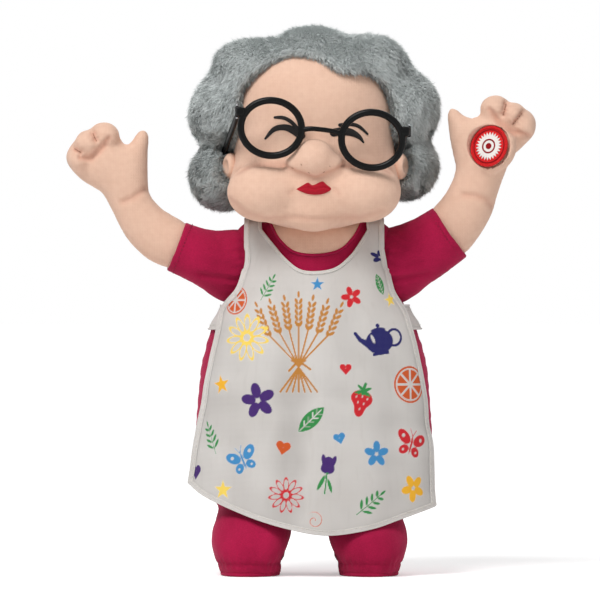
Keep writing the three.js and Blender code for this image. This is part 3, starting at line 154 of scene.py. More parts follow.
class Shader:
    """A small hand for building one material's nodes."""

    def __init__(self, name, roughness=0.6, sheen=0.0, metallic=0.0, coat=0.0, specular=0.5):
        self.material = bpy.data.materials.new(name)
        self.material.use_nodes = True
        self.tree = self.material.node_tree
        self.surface = self.tree.nodes["Principled BSDF"]
        self.set(self.surface, Metallic=metallic, Roughness=roughness, Sheen_Weight=sheen)
        self.set(self.surface, Coat_Weight=coat, Specular_IOR_Level=specular)
        self.place = self.node("TexCoord").outputs["Object"]

    def node(self, kind, **inputs):
        made = self.tree.nodes.new("ShaderNode" + kind)
        self.set(made, **inputs)
        return made

    def set(self, node, **inputs):
        for name, value in inputs.items():
            self.feed(node.inputs[name.replace("_", " ")], value)

    def feed(self, socket, value):
        """Links another node's output to a socket, or sets the socket's own value."""
        if isinstance(value, bpy.types.NodeSocket):
            self.tree.links.new(value, socket)
        else:
            socket.default_value = value

    def noise(self, scale, detail=3.0, stretch=None):
        vector = self.place
        if stretch:
            vector = self.node("Mapping", Vector=vector, Scale=stretch).outputs[0]
        return self.node("TexNoise", Vector=vector, Scale=scale, Detail=detail).outputs["Fac"]

    def ribs(self, scale, direction="X", distortion=0.0):
        made = self.node("TexWave", Vector=self.place, Scale=scale, Distortion=distortion)
        made.bands_direction = direction
        made.wave_profile = "SIN"
        return made.outputs["Fac"]

    def ramp(self, value, low, high, first=0.0, last=1.0):
        made = self.node("MapRange", Value=value, From_Min=low, From_Max=high, To_Min=first, To_Max=last)
        return made.outputs[0]

    def mix(self, share, first, second):
        made = self.node("Mix")
        made.data_type = "RGBA"
        for socket, value in zip((made.inputs[0], made.inputs[6], made.inputs[7]), (share, first, second)):
            self.feed(socket, value)
        return made.outputs[2]

    def maths(self, operation, a, b):
        made = self.node("Math")
        made.operation = operation
        self.feed(made.inputs[0], a)
        self.feed(made.inputs[1], b)
        return made.outputs[0]

    def add(self, *values):
        total = values[0]
        for value in values[1:]:
            total = self.maths("ADD", total, value)
        return total

    def times(self, a, b):
        return self.maths("MULTIPLY", a, b)

    def attribute(self, name, output="Color"):
        made = self.node("Attribute")
        made.attribute_name = name
        return made.outputs[output]

    def bump(self, height, distance, strength=1.0):
        made = self.node("Bump", Height=height, Distance=distance, Strength=strength)
        self.set(self.surface, Normal=made.outputs[0])

    def finish(self, base, roughness=None):
        self.set(self.surface, Base_Color=base)
        if roughness is not None:
            self.set(self.surface, Roughness=roughness)
        return self.material


def velour(name, light, deep):
    """Short brushed pile: fine grain, faint streaks where it has been stroked, and painted shade that
    deepens it in its creases.
    """
    shader = Shader(name, roughness=0.9, sheen=0.25, specular=0.12)
    shader.set(shader.surface, Sheen_Roughness=0.5, Sheen_Tint=colour(255, 150, 180))
    grain = shader.noise(1500, detail=2)
    strokes = shader.noise(38, detail=3, stretch=(1, 1, 0.35))
    share = shader.add(shader.ramp(strokes, 0.3, 0.7, 0.0, 0.65), shader.ramp(grain, 0.35, 0.65, 0, 0.3))
    # painted shade: the deep colour mixed in where the form is creased
    crease_shade = shader.ramp(shader.attribute("crease_shade", "Fac"), 0, 1, 0, 0.8)
    tone = shader.mix(crease_shade, shader.mix(share, light, deep), deep)
    shader.bump(shader.add(grain, shader.times(strokes, 1.5)), 0.0004, 0.5)
    return shader.finish(tone)


def knit(name, light, deep, shade_tint):
    """Brushed tricot: fine upright wales crossed by courses, with a little nap, and painted shade, warmer
    and darker, in its creases.
    """
    shader = Shader(name, roughness=0.85, sheen=0.12, specular=0.15)
    shader.set(shader.surface, Sheen_Roughness=0.6)
    nap = shader.noise(1100, detail=2)
    soft = shader.noise(30, detail=2)
    wales = shader.ribs(290, "X", distortion=0.6)
    courses = shader.ribs(330, "Z", distortion=0.6)
    weave = shader.times(wales, courses)
    share = shader.add(shader.ramp(soft, 0.3, 0.7, 0, 0.35), shader.ramp(weave, 0, 1, 0.35, 0.0))
    share = shader.add(share, shader.ramp(shader.noise(260, detail=3), 0.35, 0.65, 0, 0.3))
    tone = shader.mix(share, light, deep)
    # painted shade: a warmer, darker tint mixed in where the form is creased
    tone = shader.mix(shader.ramp(shader.attribute("crease_shade", "Fac"), 0, 1, 0, 0.85), tone, shade_tint)
    shader.bump(shader.add(shader.times(weave, 0.8), shader.times(nap, 0.6)), 0.0003, 0.6)
    return shader.finish(tone)


def fur(name, dark, light):
    """Dyed acrylic pile: deep at the root, paler and silky at the tip, each clump a little different,
    painted paler on top and darker low down for light from above.
    """
    shader = Shader(name, roughness=0.62, sheen=0.1, specular=0.25)
    along = shader.attribute("along", "Fac")
    tuft_and_top_light = shader.attribute("tuft_and_top_light", "Fac")
    broad = shader.ramp(shader.noise(24, detail=2), 0.3, 0.7, -0.05, 0.05)
    share = shader.add(shader.times(along, 0.55), shader.times(tuft_and_top_light, 0.42), broad)
    return shader.finish(shader.mix(share, dark, light))


def cotton(name, plain, warm, shade=None, printed=False):
    """Plain-weave cotton: crossed threads with slubs, painted shade darkening its folds, with or without its
    print.
    """
    shade = shade or warm
    shader = Shader(name, roughness=0.88, sheen=0.05, specular=0.15)
    across = shader.ribs(420, "X", distortion=0.8)
    upright = shader.ribs(420, "Z", distortion=0.8)
    weave = shader.add(shader.times(across, 0.5), shader.times(upright, 0.5))
    slubs = shader.noise(260, detail=2, stretch=(1, 1, 0.12))
    cloudy = shader.noise(18, detail=3)
    share = shader.add(shader.ramp(cloudy, 0.35, 0.7, 0, 0.55), shader.ramp(weave, 0.2, 0.8, 0.28, 0.0))
    share = shader.add(share, shader.ramp(slubs, 0.55, 0.75, 0, 0.25))
    tone = shader.mix(share, plain, warm)
    # painted shade: the shade colour mixed in where the cloth lies in folds
    tone = shader.mix(shader.ramp(shader.attribute("crease_shade", "Fac"), 0.4, 1, 0, 0.5), tone, shade)
    if printed:
        ink = shader.attribute("print")
        cover = shader.attribute("cover", "Fac")
        faded = shader.times(cover, shader.ramp(weave, 0.1, 0.9, 0.93, 1.0))
        tone = shader.mix(faded, tone, ink)
    shader.bump(shader.add(weave, shader.times(slubs, 0.4)), 0.0002, 0.5)
    return shader.finish(tone)


def thread(name, light, deep):
    """Stitching thread or satin stitch: fine twisted plies that catch the light, with painted highlight and
    shade along them and a little random tone.
    """
    shader = Shader(name, roughness=0.55, sheen=0.05, specular=0.2)
    plies = shader.ribs(900, "DIAGONAL", distortion=0.6)
    uneven = shader.noise(500)
    tone = shader.mix(shader.add(shader.times(plies, 0.6), shader.times(uneven, 0.4)), light, deep)
    shader.bump(plies, 0.00025, 0.6)
    return shader.finish(tone)


def moulded(name, base, worn, roughness=0.45, grain=0.3, specular=0.5):
    """Moulded plastic: fine spark-eroded grain, and faint flow marks in its tone and roughness."""
    shader = Shader(name, roughness=roughness, specular=specular)
    spark = shader.noise(1800, detail=2)
    flow = shader.noise(45, detail=3)
    tone = shader.mix(shader.ramp(flow, 0.3, 0.75, 0, 0.5), base, worn)
    rough = shader.ramp(shader.add(shader.times(spark, 0.5), shader.times(flow, 0.5)), 0.3, 0.7,
                        roughness * 0.82, min(1.0, roughness * 1.2))
    shader.bump(spark, 0.00012, grain)
    return shader.finish(tone, rough)


def plated(name, base, worn):
    """Zinc-plated steel: turned rings, blurred reflections and a few dull spots."""
    shader = Shader(name, roughness=0.32, metallic=1.0)
    turned = shader.noise(160, detail=2, stretch=(1, 12, 1))
    spots = shader.noise(420, detail=3)
    tone = shader.mix(shader.ramp(spots, 0.45, 0.7, 0, 0.6), base, worn)
    shader.bump(turned, 0.0001, 0.4)
    return shader.finish(tone, shader.ramp(turned, 0.3, 0.7, 0.24, 0.42))


def board(name):
    """Green solder mask with paler copper tracks under it."""
    shader = Shader(name, roughness=0.35, coat=0.3)
    tracks = shader.ribs(190, "X", distortion=6.0)
    grain = shader.noise(700)
    lines = shader.ramp(tracks, 0.52, 0.6)
    tone = shader.mix(lines, colour(18, 84, 46), colour(42, 122, 70))
    shader.bump(shader.add(lines, shader.times(grain, 0.2)), 0.0001, 0.5)
    return shader.finish(tone, shader.ramp(grain, 0.3, 0.7, 0.3, 0.42))


def cell_sleeve(name):
    """A plain printed battery sleeve: a dark barrel with one coloured band round it, slightly scuffed."""
    shader = Shader(name, roughness=0.3, coat=0.4)
    scuffs = shader.noise(600, detail=4)
    height = shader.node("SeparateXYZ", Vector=shader.place).outputs["Z"]
    band = shader.times(shader.ramp(height, 0.1290, 0.1292), shader.ramp(height, 0.1420, 0.1422, 1, 0))
    tone = shader.mix(band, colour(52, 54, 58), colour(196, 150, 62))
    tone = shader.mix(shader.ramp(scuffs, 0.62, 0.75, 0, 0.4), tone, colour(150, 150, 150))
    shader.bump(scuffs, 0.00008, 0.3)
    return shader.finish(tone, shader.ramp(scuffs, 0.3, 0.7, 0.24, 0.4))


def backdrop():
    """A white floor that shows the doll's soft shadow and is otherwise as pale as the air round it."""
    shader = Shader("floor_white", roughness=1.0, specular=0.0)
    shade = shader.noise(3, detail=2)
    share = shader.ramp(shade, 0.3, 0.7)
    shader.finish(shader.mix(share, colour(250, 250, 250), colour(248, 248, 248)))
    path = shader.node("LightPath")
    seen = shader.add(path.outputs["Is Camera Ray"], path.outputs["Is Glossy Ray"])
    seen = shader.add(seen, path.outputs["Is Transmission Ray"])
    away = shader.node("VectorMath", Vector=shader.place)
    away.operation = "LENGTH"
    strength = shader.ramp(away.outputs["Value"], 0.3, 1.6, 0.42, 0.75)
    glow = shader.node("Emission", Color=(1, 1, 1, 1), Strength=shader.times(seen, strength))
    both = shader.node("AddShader")
    shader.tree.links.new(shader.surface.outputs[0], both.inputs[0])
    shader.tree.links.new(glow.outputs[0], both.inputs[1])
    out = shader.tree.nodes["Material Output"]
    shader.tree.links.new(both.outputs[0], out.inputs["Surface"])
    return shader.material


MAGENTA = velour("magenta_velour", colour(186, 28, 76), colour(142, 16, 54))
# The skin's third colour is the painted shade of its creases and seams.
SKIN = knit("skin_knit", colour(241, 204, 181), colour(228, 186, 162), colour(206, 148, 126))
HAIR = fur("grey_fur", colour(134, 141, 140), colour(221, 226, 225))
# The apron's third colour is the painted shade of its folds.
APRON_CLOTH = cotton("apron_cotton", colour(213, 209, 205), colour(199, 194, 189), colour(172, 167, 163),
                     printed=True)
PLAIN_CLOTH = cotton("plain_cotton", colour(221, 217, 213), colour(206, 201, 196))
WHITE_THREAD = thread("white_thread", colour(244, 240, 232), colour(206, 200, 190))
BLACK_THREAD = thread("black_thread", colour(34, 30, 30), colour(14, 12, 12))
BROWN_THREAD = thread("brown_thread", colour(176, 128, 106), colour(150, 104, 84))
LIP_THREAD = thread("lip_thread", colour(196, 14, 42), colour(152, 6, 30))
MAGENTA_THREAD = thread("magenta_thread", colour(158, 18, 60), colour(120, 10, 44))
RED_THREAD = thread("red_thread", colour(244, 44, 46), colour(214, 24, 30))
RED_FELT = cotton("red_felt", colour(226, 40, 42), colour(206, 28, 34))
DARK_RED = cotton("dark_red_print", colour(150, 16, 26), colour(124, 10, 20))
PATCH_WHITE = cotton("white_print", colour(244, 240, 236), colour(228, 222, 216))
BLACK_GLOSS = moulded("black_gloss_plastic", colour(8, 8, 8), colour(12, 12, 12), roughness=0.24,
                      grain=0.05, specular=0.12)
DARK_PLASTIC = moulded("dark_plastic", colour(86, 88, 92), colour(100, 102, 106), roughness=0.5)
WHITE_PLASTIC = moulded("housing_plastic", colour(222, 222, 216), colour(206, 206, 200), roughness=0.5)
NYLON = moulded("natural_nylon", colour(232, 228, 214), colour(218, 212, 196), roughness=0.42)
STEEL = plated("zinc_plate", colour(196, 198, 202), colour(150, 152, 156))
BOARD_GREEN = board("green_board")
CELL = cell_sleeve("cell_sleeve")

SLOT_FINISH = {
    "dress": MAGENTA, "skin": SKIN, "fur": HAIR, "apron": PLAIN_CLOTH, "patch": RED_FELT,
    "black_gloss": BLACK_GLOSS, "dark_plastic": DARK_PLASTIC, "housing": WHITE_PLASTIC,
    "nylon": NYLON, "steel": STEEL, "board": BOARD_GREEN, "battery": CELL,
}
for part in frame["record"]["subparts"]:
    mesh = frame["nodes"][part["node"]].data
    mesh.materials.clear()
    mesh.materials.append(SLOT_FINISH[part["material_slot"]])


# Meshes and fields


def piece(name, points, faces, finish, slot, smooth=True):
    """A mesh of points measured from the trunk's axis. Faces are one array, or a list of arrays."""
    mesh = bpy.data.meshes.new(name)
    groups = faces if isinstance(faces, list) else [faces]
    corners = np.concatenate([np.asarray(g).ravel() for g in groups]).astype(np.int32)
    counts = np.concatenate([np.full(len(g), np.asarray(g).shape[1]) for g in groups])
    starts = np.concatenate([[0], np.cumsum(counts)[:-1]]).astype(np.int32)
    mesh.vertices.add(len(points))
    mesh.vertices.foreach_set("co", ((np.asarray(points) + AXIS) * MM).astype(np.float32).ravel())
    mesh.loops.add(len(corners))
    mesh.loops.foreach_set("vertex_index", corners)
    mesh.polygons.add(len(counts))
    mesh.polygons.foreach_set("loop_start", starts)
    mesh.update(calc_edges=True)
    mesh.validate()
    if smooth:
        mesh.shade_smooth()
    mesh.materials.append(finish)
    made = bpy.data.objects.new(name, mesh)
    bpy.context.scene.collection.objects.link(made)
    return made


def value_layer(made, name, values):
    layer = made.data.attributes.new(name, "FLOAT", "POINT")
    layer.data.foreach_set("value", np.asarray(values, np.float32))


def colour_layer(made, name, values):
    layer = made.data.attributes.new(name, "FLOAT_COLOR", "POINT")
    layer.data.foreach_set("color", np.asarray(values, np.float32).ravel())


def length(vectors):
    return np.sqrt((vectors**2).sum(-1))


def unit(vectors):
    return vectors / np.maximum(length(vectors)[..., None], 1e-9)


def angles_round(count):
    """Angles evenly round a circle."""
    return np.linspace(0, 2 * np.pi, count, endpoint=False)


def signed_power(share, power):
    """A sine or cosine raised to a power with its sign kept, which squares off a ring."""
    return np.sign(share) * np.abs(share) ** power


def smooth_curve(rows, count):
    """Points on a smooth curve through a table's rows, evenly in the rows' own count."""
    rows = np.asarray(rows, float)
    t = np.linspace(0, len(rows) - 1, count)
    i = np.minimum(t.astype(int), len(rows) - 2)
    u = (t - i)[:, None]
    at = lambda k: rows[np.clip(k, 0, len(rows) - 1)]
    a, b, c, d = at(i - 1), at(i), at(i + 1), at(i + 2)
    return 0.5 * (2 * b + (c - a) * u + (2 * a - 5 * b + 4 * c - d) * u**2 + (3 * b - a - 3 * c + d) * u**3)


def join_soft(a, b, blend):
    share = np.clip(0.5 + 0.5 * (b - a) / blend, 0, 1)
    return b * (1 - share) + a * share - blend * share * (1 - share)


def meet_soft(a, b, blend):
    return -join_soft(-a, -b, blend)


def ellipsoid(points, centre, radii):
    scaled = (points - np.asarray(centre, float)) / np.asarray(radii, float)
    reach = length(scaled)
    slope = length(scaled / np.asarray(radii, float))
    return reach * (reach - 1) / np.maximum(slope, 1e-9)


def with_balls(whole, points, balls, blend):
    """A form's field with stuffed balls joined softly to it, each given by its centre and radii."""
    for centre, radii in balls:
        whole = join_soft(whole, ellipsoid(points, centre, radii), blend)
    return whole


def slab(points, low, high):
    """How far outside a box a point is, near enough for cutting with."""
    low, high = np.asarray(low, float), np.asarray(high, float)
    return (np.abs(points - (low + high) / 2) - (high - low) / 2).max(-1)


SQUARENESS = 2.25  # of the level outlines of the trunk, the head and the apron; 2 is an ellipse


def upright(sections, end_blend=8.0):
    """A field for a stuffed form of level sections: height, half width, front, back."""
    rows = smooth_curve(sections, 120)

    def field(points):
        z = points[:, 2]
        half, front, back = (np.interp(z, rows[:, 0], rows[:, k]) for k in (1, 2, 3))
        deep = (back - front) / 2
        x = np.abs(points[:, 0]) / half
        y = np.abs(points[:, 1] - (front + back) / 2) / deep
        side = ((x**SQUARENESS + y**SQUARENESS) ** (1 / SQUARENESS) - 1) * np.minimum(half, deep)
        ends = np.maximum(rows[0, 0] - z, z - rows[-1, 0])
        return meet_soft(side, ends, end_blend)

    return field


def limb(rows, first_cap, last_cap, pieces=14):
    """A field for a stuffed limb: each row is x, y, z, half width in the front plane, half depth."""
    rows = smooth_curve(rows, pieces + 1)

    def field(points):
        best = np.full(len(points), 1e9)
        for k in range(pieces):
            a, b = rows[k], rows[k + 1]
            along = np.array([b[0] - a[0], b[2] - a[2]])
            reach = np.hypot(*along)
            along /= reach
            from_a = points[:, [0, 2]] - a[[0, 2]]
            far = from_a @ along
            t = np.clip(far / reach, 0, 1)
            side = from_a[:, 1] * along[0] - from_a[:, 0] * along[1]
            past = far - t * reach
            wide = a[3] + t * (b[3] - a[3])
            deep = a[4] + t * (b[4] - a[4])
            cap = np.where(past < 0, first_cap if k == 0 else wide, last_cap if k == pieces - 1 else wide)
            off = points[:, 1] - (a[1] + t * (b[1] - a[1]))
            reach_out = np.sqrt((side / wide) ** 2 + (off / deep) ** 2 + (past / cap) ** 2)
            best = np.minimum(best, (reach_out - 1) * np.minimum(wide, deep))
        return best

    return field


def slope_of(field, points, step=0.05):
    made = np.empty_like(points)
    for axis in range(3):
        shift = np.zeros(3)
        shift[axis] = step
        made[:, axis] = field(points + shift) - field(points - shift)
    return made / (2 * step)


def settle(field, points, rounds=3, longest_step=2, least_slope=0.05):
    """Moves points onto the surface where a field is zero, and gives them with their outward directions."""
    for _ in range(rounds):
        slope = slope_of(field, points)
        steep = np.maximum((slope**2).sum(-1), least_slope)
        points = points - slope * np.clip(field(points) / steep, -longest_step, longest_step)[:, None]
    return points, unit(slope_of(field, points))


def edge_crossings(values, axis, shifts):
    """Where a field's sign changes along one edge of each cell of a grid, in cells from its corner."""
    cells = tuple(n - 1 for n in values.shape)
    first, second = [None] * 3, [None] * 3
    first[axis], second[axis] = slice(0, cells[axis]), slice(1, values.shape[axis])
    spot = np.zeros(cells + (3,))
    others = [k for k in range(3) if k != axis]
    for k, shift in zip(others, shifts):
        first[k] = second[k] = slice(shift, shift + cells[k])
        spot[..., k] = shift
    a, b = values[tuple(first)], values[tuple(second)]
    crossed = (a < 0) != (b < 0)
    spot[..., axis] = np.where(crossed, a / np.where(crossed, a - b, 1), 0)
    return spot * crossed[..., None], crossed


def cell_places(values):
    """Which cells of a grid a field's surface passes through, and the mean place of it in each."""
    cells = tuple(n - 1 for n in values.shape)
    total, count = np.zeros(cells + (3,)), np.zeros(cells)
    for axis in range(3):
        for shifts in ((0, 0), (0, 1), (1, 0), (1, 1)):
            spot, crossed = edge_crossings(values, axis, shifts)
            total += spot
            count += crossed
    used = count > 0
    return used, np.argwhere(used) + total[used] / count[used][:, None]


def faces_across(inside, number, axis):
    """One face round each of a grid's edges along an axis that the surface crosses, turned outward."""
    b, c = (axis + 1) % 3, (axis + 2) % 3
    first, second = [slice(1, n - 1) for n in inside.shape], [slice(1, n - 1) for n in inside.shape]
    first[axis], second[axis] = slice(0, inside.shape[axis] - 1), slice(1, inside.shape[axis])
    starts, ends = inside[tuple(first)], inside[tuple(second)]
    crossed = np.argwhere(starts != ends)
    outward = starts[starts != ends]
    around = []
    for db, dc in ((0, 0), (1, 0), (1, 1), (0, 1)):
        cell = crossed.copy()
        cell[:, b] += db
        cell[:, c] += dc
        around.append(number[tuple(cell.T)])
    quads = np.stack(around, -1)
    quads[~outward] = quads[~outward][:, ::-1]
    return quads


def skin_of(field, low, high, step):
    """Points and four-sided faces of the surface where a field is zero, as a net over a grid of cells."""
    grid = [np.arange(a - step, b + 2 * step, step) for a, b in zip(low, high)]
    where = np.stack(np.meshgrid(*grid, indexing="ij"), -1).reshape(-1, 3)
    values = np.concatenate([field(part) for part in np.array_split(where, 12)])
    values = values.reshape([len(g) for g in grid])
    used, places = cell_places(values)
    number = np.full(used.shape, -1)
    number[used] = np.arange(used.sum())
    corner = np.stack([g[0] for g in grid])
    faces = [faces_across(values < 0, number, axis) for axis in range(3)]
    return corner + places * step, np.concatenate(faces)


def stuffed(field, low, high, step):
    points, faces = skin_of(field, low, high, step)
    points, outward = settle(field, points)
    return points, faces, outward


def ripples(points, wavelength, seed, waves=9):
    """Smooth random ripples from -1 to 1, the same each time for a seed."""
    source = np.random.default_rng(seed)
    directions = unit(source.normal(size=(waves, 3)))
    lengths = wavelength * source.uniform(0.7, 1.6, waves)
    phases = source.uniform(0, 2 * np.pi, waves)
    return np.sin(points @ (directions * (2 * np.pi / lengths)[:, None]).T + phases).sum(-1) / waves * 1.6


def near_line(points, line):
    """How far each point is from a line of points, and how far along that line its nearest place is."""
    line = np.asarray(line, float)
    best, along, run = np.full(len(points), 1e9), np.zeros(len(points)), 0.0
    for a, b in zip(line[:-1], line[1:]):
        step = b - a
        reach = max(length(step), 1e-9)
        t = np.clip((points - a) @ step / reach**2, 0, 1)
        away = length(points - (a + t[:, None] * step))
        closer = away < best
        best[closer], along[closer] = away[closer], (run + t * reach)[closer]
        run += reach
    return best, along


def inside_outline(points, outline):
    """Signed distance in the plane from a closed outline, negative inside."""
    outline = np.asarray(outline, float)
    best, odd = np.full(len(points), 1e9), np.zeros(len(points), bool)
    for a, b in zip(outline, np.roll(outline, -1, 0)):
        step = b - a
        t = np.clip((points - a) @ step / max((step**2).sum(), 1e-12), 0, 1)
        best = np.minimum(best, length(points - (a + t[:, None] * step)))
        spans = (a[1] > points[:, 1]) != (b[1] > points[:, 1])
        rise = np.where(spans, (b[0] - a[0]) * (points[:, 1] - a[1]) / (b[1] - a[1] + 1e-12) + a[0], 0)
        odd ^= spans & (points[:, 0] < rise)
    return np.where(odd, -best, best)


class Form:
    """A stuffed form's skin, and how much painted shade each of its points gets in its creases and seams."""

    def __init__(self, field, low, high, step):
        self.points, self.faces, self.outward = stuffed(field, low, high, step)
        self.crease_shade = np.zeros(len(self.points))

    def near(self, line):
        """How far each point is from a line, in space or as seen from the front, and how far along it."""
        line = np.asarray(line, float)
        return near_line(self.points if line.shape[1] == 3 else self.points[:, [0, 2]], line)

    def sink(self, share, depth, dark, facing):
        """Moves the skin in by a share of a depth, only where it faces one way if that is given, and paints
        shade there by a share of dark.
        """
        if facing is not None:
            share = share * np.clip(self.outward @ np.asarray(facing, float) * 3, 0, 1)
        self.points = self.points - self.outward * (share * depth)[:, None]
        self.crease_shade = np.maximum(self.crease_shade, share * dark)

    def press(self, line, width, depth, dark=1.0, facing=None):
        """A groove along a line of points, with painted shade in it."""
        away, _ = self.near(line)
        self.sink(np.exp(-((away / width) ** 2)), depth, dark, facing)

    def gather(self, line, reach, depth, pitch, facing=None, dark=0.35):
        """Small puckers that cross a seam and fade away from it, with painted shade in them."""
        away, along = self.near(line)
        uneven = ripples(self.points, 9, 5) * 1.8
        folds = 0.5 - 0.5 * np.cos(2 * np.pi * along / pitch + uneven)
        self.sink(np.exp(-((away / reach) ** 2)) * folds, depth, dark, facing)

    def soften(self, size, wavelength, seed):
        """Slow random swells and dips of the stuffing."""
        self.points = self.points + self.outward * (size * ripples(self.points, wavelength, seed))[:, None]

    def made(self, name, finish, slot, fill=0.75):
        piece_made = piece(name, self.points, self.faces, finish, slot)
        # the painted shade of the creases and seams, which the finishes darken by
        value_layer(piece_made, "crease_shade", self.crease_shade)
        return piece_made


def ray_to(field, start, direction, far, scans=160, halvings=14):
    """Where rays from outside first meet a surface: scanned in even steps, then closed in on."""
    steps = np.linspace(0, far, scans)
    first = np.full(len(start), far, float)
    found = np.zeros(len(start), bool)
    for t in steps:
        inside = field(start + direction * t) < 0
        first[inside & ~found] = t
        found |= inside
    low, high = first - steps[1], first.copy()
    for _ in range(halvings):
        middle = (low + high) / 2
        inside = field(start + direction * middle[:, None]) < 0
        high = np.where(inside, middle, high)
        low = np.where(inside, low, middle)
    return start + direction * high[:, None]


IN_FRONT, BEHIND = 110.0, 90.0  # how far from the axis a ray toward the doll's front or back starts
BACKWARD = np.array([0.0, 1.0, 0.0])
FRONT = -BACKWARD


def front_of(field, x, z):
    """The points of a form's front that lie at x and z."""
    return ray_to(field, np.stack([x, np.full_like(x, -IN_FRONT), z], -1), BACKWARD, IN_FRONT)


def back_of(field, x, z, far=BEHIND):
    """The points of a form's back that lie at x and z."""
    return ray_to(field, np.stack([x, np.full_like(x, BEHIND), z], -1), FRONT, far)


def ring_quads(rows, sides, closed=False):
    """The four-sided faces between rings of points that follow one another."""
    i, j = np.meshgrid(np.arange(rows if closed else rows - 1), np.arange(sides), indexing="ij")
    after, beside = (i + 1) % rows, (j + 1) % sides
    corners = [i * sides + j, after * sides + j, after * sides + beside, i * sides + beside]
    return np.stack(corners, -1).reshape(-1, 4)


def fan(middle, first, sides):
    """The three-sided faces from a middle point to a ring of points."""
    j = np.arange(sides)
    return np.stack([np.full(sides, middle), first + j, first + (j + 1) % sides], -1)


def grid_quads(rows, columns):
    """The four-sided faces of a grid of points."""
    number = np.arange(rows * columns).reshape(rows, columns)
    corners = [number[:-1, :-1], number[:-1, 1:], number[1:, 1:], number[1:, :-1]]
    return np.stack(corners, -1).reshape(-1, 4)


def only_used(count, faces):
    """Which of a count of points some faces use, and the faces numbered by those alone."""
    used = np.unique(faces)
    number = np.full(count, -1)
    number[used] = np.arange(len(used))
    return used, number[faces]


def swept(path, radius, sides=10, closed=False, flat=1.0, up=(0, 0, 1)):
    """A tube along a path. Radius may change along it, and flat squeezes it along the up direction."""
    path = np.asarray(path, float)
    radius = np.broadcast_to(np.asarray(radius, float), (len(path),))
    ahead = np.roll(path, -1, 0) - np.roll(path, 1, 0) if closed else np.gradient(path, axis=0)
    ahead = unit(ahead)
    across = unit(np.cross(ahead, np.broadcast_to(np.asarray(up, float), ahead.shape)))
    over = np.cross(across, ahead)
    angle = angles_round(sides)[None, :, None]
    ring = np.cos(angle) * across[:, None] + flat * np.sin(angle) * over[:, None]
    points = (path[:, None] + ring * radius[:, None, None]).reshape(-1, 3)
    quads = ring_quads(len(path), sides, closed)
    if closed:
        return points, [quads]
    ends, last = len(points), (len(path) - 1) * sides
    caps = np.vstack([fan(ends, 0, sides), fan(ends + 1, last, sides)[:, [0, 2, 1]]])
    tips = [path[0] - ahead[0] * radius[0] * 0.5, path[-1] + ahead[-1] * radius[-1] * 0.5]
    return np.vstack([points, *tips]), [quads, caps]


def together(parts):
    """Several sets of points and faces as one."""
    points, groups, start = [], {}, 0
    for some, faces in parts:
        for group in faces if isinstance(faces, list) else [faces]:
            groups.setdefault(group.shape[1], []).append(group + start)
        points.append(some)
        start += len(some)
    return np.vstack(points), [np.vstack(g) for g in groups.values()]


def run_along(line):
    """How far along a line each of its points is."""
    return np.concatenate([[0], np.cumsum(length(np.diff(line, axis=0)))])


def read_along(at, run, values):
    """A line's points, or other values given for them, at distances along it."""
    return np.stack([np.interp(at, run, values[:, k]) for k in range(values.shape[1])], -1)


def resampled(line, count):
    """A line with a number of points evenly along it."""
    run = run_along(line)
    return read_along(np.linspace(0, run[-1], count), run, line)


def even_path(line, pitch):
    """Points about a pitch apart along a line of points."""
    line = np.asarray(line, float)
    return resampled(line, max(2, int(round(run_along(line)[-1] / pitch)) + 1))


def stitches(path, outward, stitch=1.7, gap=0.9, thick=0.28):
    """A row of short threads that dip into the cloth at both ends."""
    parts = []
    run = run_along(path)
    t = np.linspace(0, 1, 5)
    arch = thick * (1.6 * np.sin(np.pi * t) - 0.9)
    for start in np.arange(gap, run[-1] - stitch, stitch + gap):
        at = start + t * stitch
        lift = read_along(at, run, outward)
        parts.append(swept(read_along(at, run, path) + lift * arch[:, None], thick, 6, up=lift[2]))
    return together(parts)


# The stuffed body: trunk and legs are one bag

TRUNK_SECTIONS = [
    [46, 70, -45, 42], [58, 74.5, -51, 47], [74, 76, -54, 50], [92, 76, -55, 51.5], [112, 75, -54, 52],
    [132, 73, -51.5, 51], [146, 69.6, -48.7, 50.3], [160, 65, -45.6, 48.2], [168, 60.4, -43.4, 46.4],
    [182, 54, -39, 41], [197, 47.5, -34.5, 35.5], [209, 44.5, -30, 31], [219, 41, -26, 27],
    [225.6, 35, -20, 21], [229.6, 15, -9, 10],
]
SHOULDER_PADS = [[(side * 36.5, 0, 208.4), (17, 17, 19)] for side in (-1, 1)]
LEG_CENTRES = [middle_of(f"sole_{side}")[0] - AXIS[0] for side in ("left", "right")]
LEG_RADIUS = 18.5
LEG_SETBACK = -6
LEG_BOTTOM, LEG_TOP = 14, 62
FOOT_SECTIONS = [
    [0, 7, 22, 10], [2.5, 12.5, 27, 5], [8, 18.5, 34, 1.5], [16, 22.5, 43, -0.4], [26, 24.6, 51, -1.6],
    [40, 25, 56, -2], [60, 24, 57, -2], [80, 21, 50, 0], [90, 16, 38, 3], [95, 9, 26, 7],
]
FOOT_ROUNDNESS = 1.9
FOOT_LEAN = 0.12  # how far a foot leans out for each millimetre down from the height where it is upright
FOOT_UPRIGHT = 25
TOE, HEEL = -66, 30
SOLE_TOP = 1.9


def with_shoulders(form):
    """A trunk's field with the two stuffed shoulders that the apron's straps lie on."""
    return lambda points: with_balls(form(points), points, SHOULDER_PADS, 6)


trunk_form = with_shoulders(upright(TRUNK_SECTIONS))


def plate_cover(points, centre):
    """The lowest part of a foot, stretched over the stiff plate inside it."""
    half, inset, half_deep = 18.9, 4.7, 2.5
    toe_length, heel_length = 1.3, 0.95  # of the plate's rounded ends, as shares of its half width
    heel_width = 0.88 * half
    toe, heel = TOE + inset + toe_length * half, HEEL - inset - heel_length * half
    y = points[:, 1]
    past = np.where(y < toe, (toe - y) / toe_length, np.maximum(y - heel, 0) * 0.93)
    width = np.interp(y, [toe, heel], [half, heel_width])
    round_it = np.hypot(points[:, 0] - centre, past) - width
    level = np.abs(points[:, 2] - SOLE_TOP - half_deep) - half_deep - 0.5
    return meet_soft(round_it, level, 1.5)


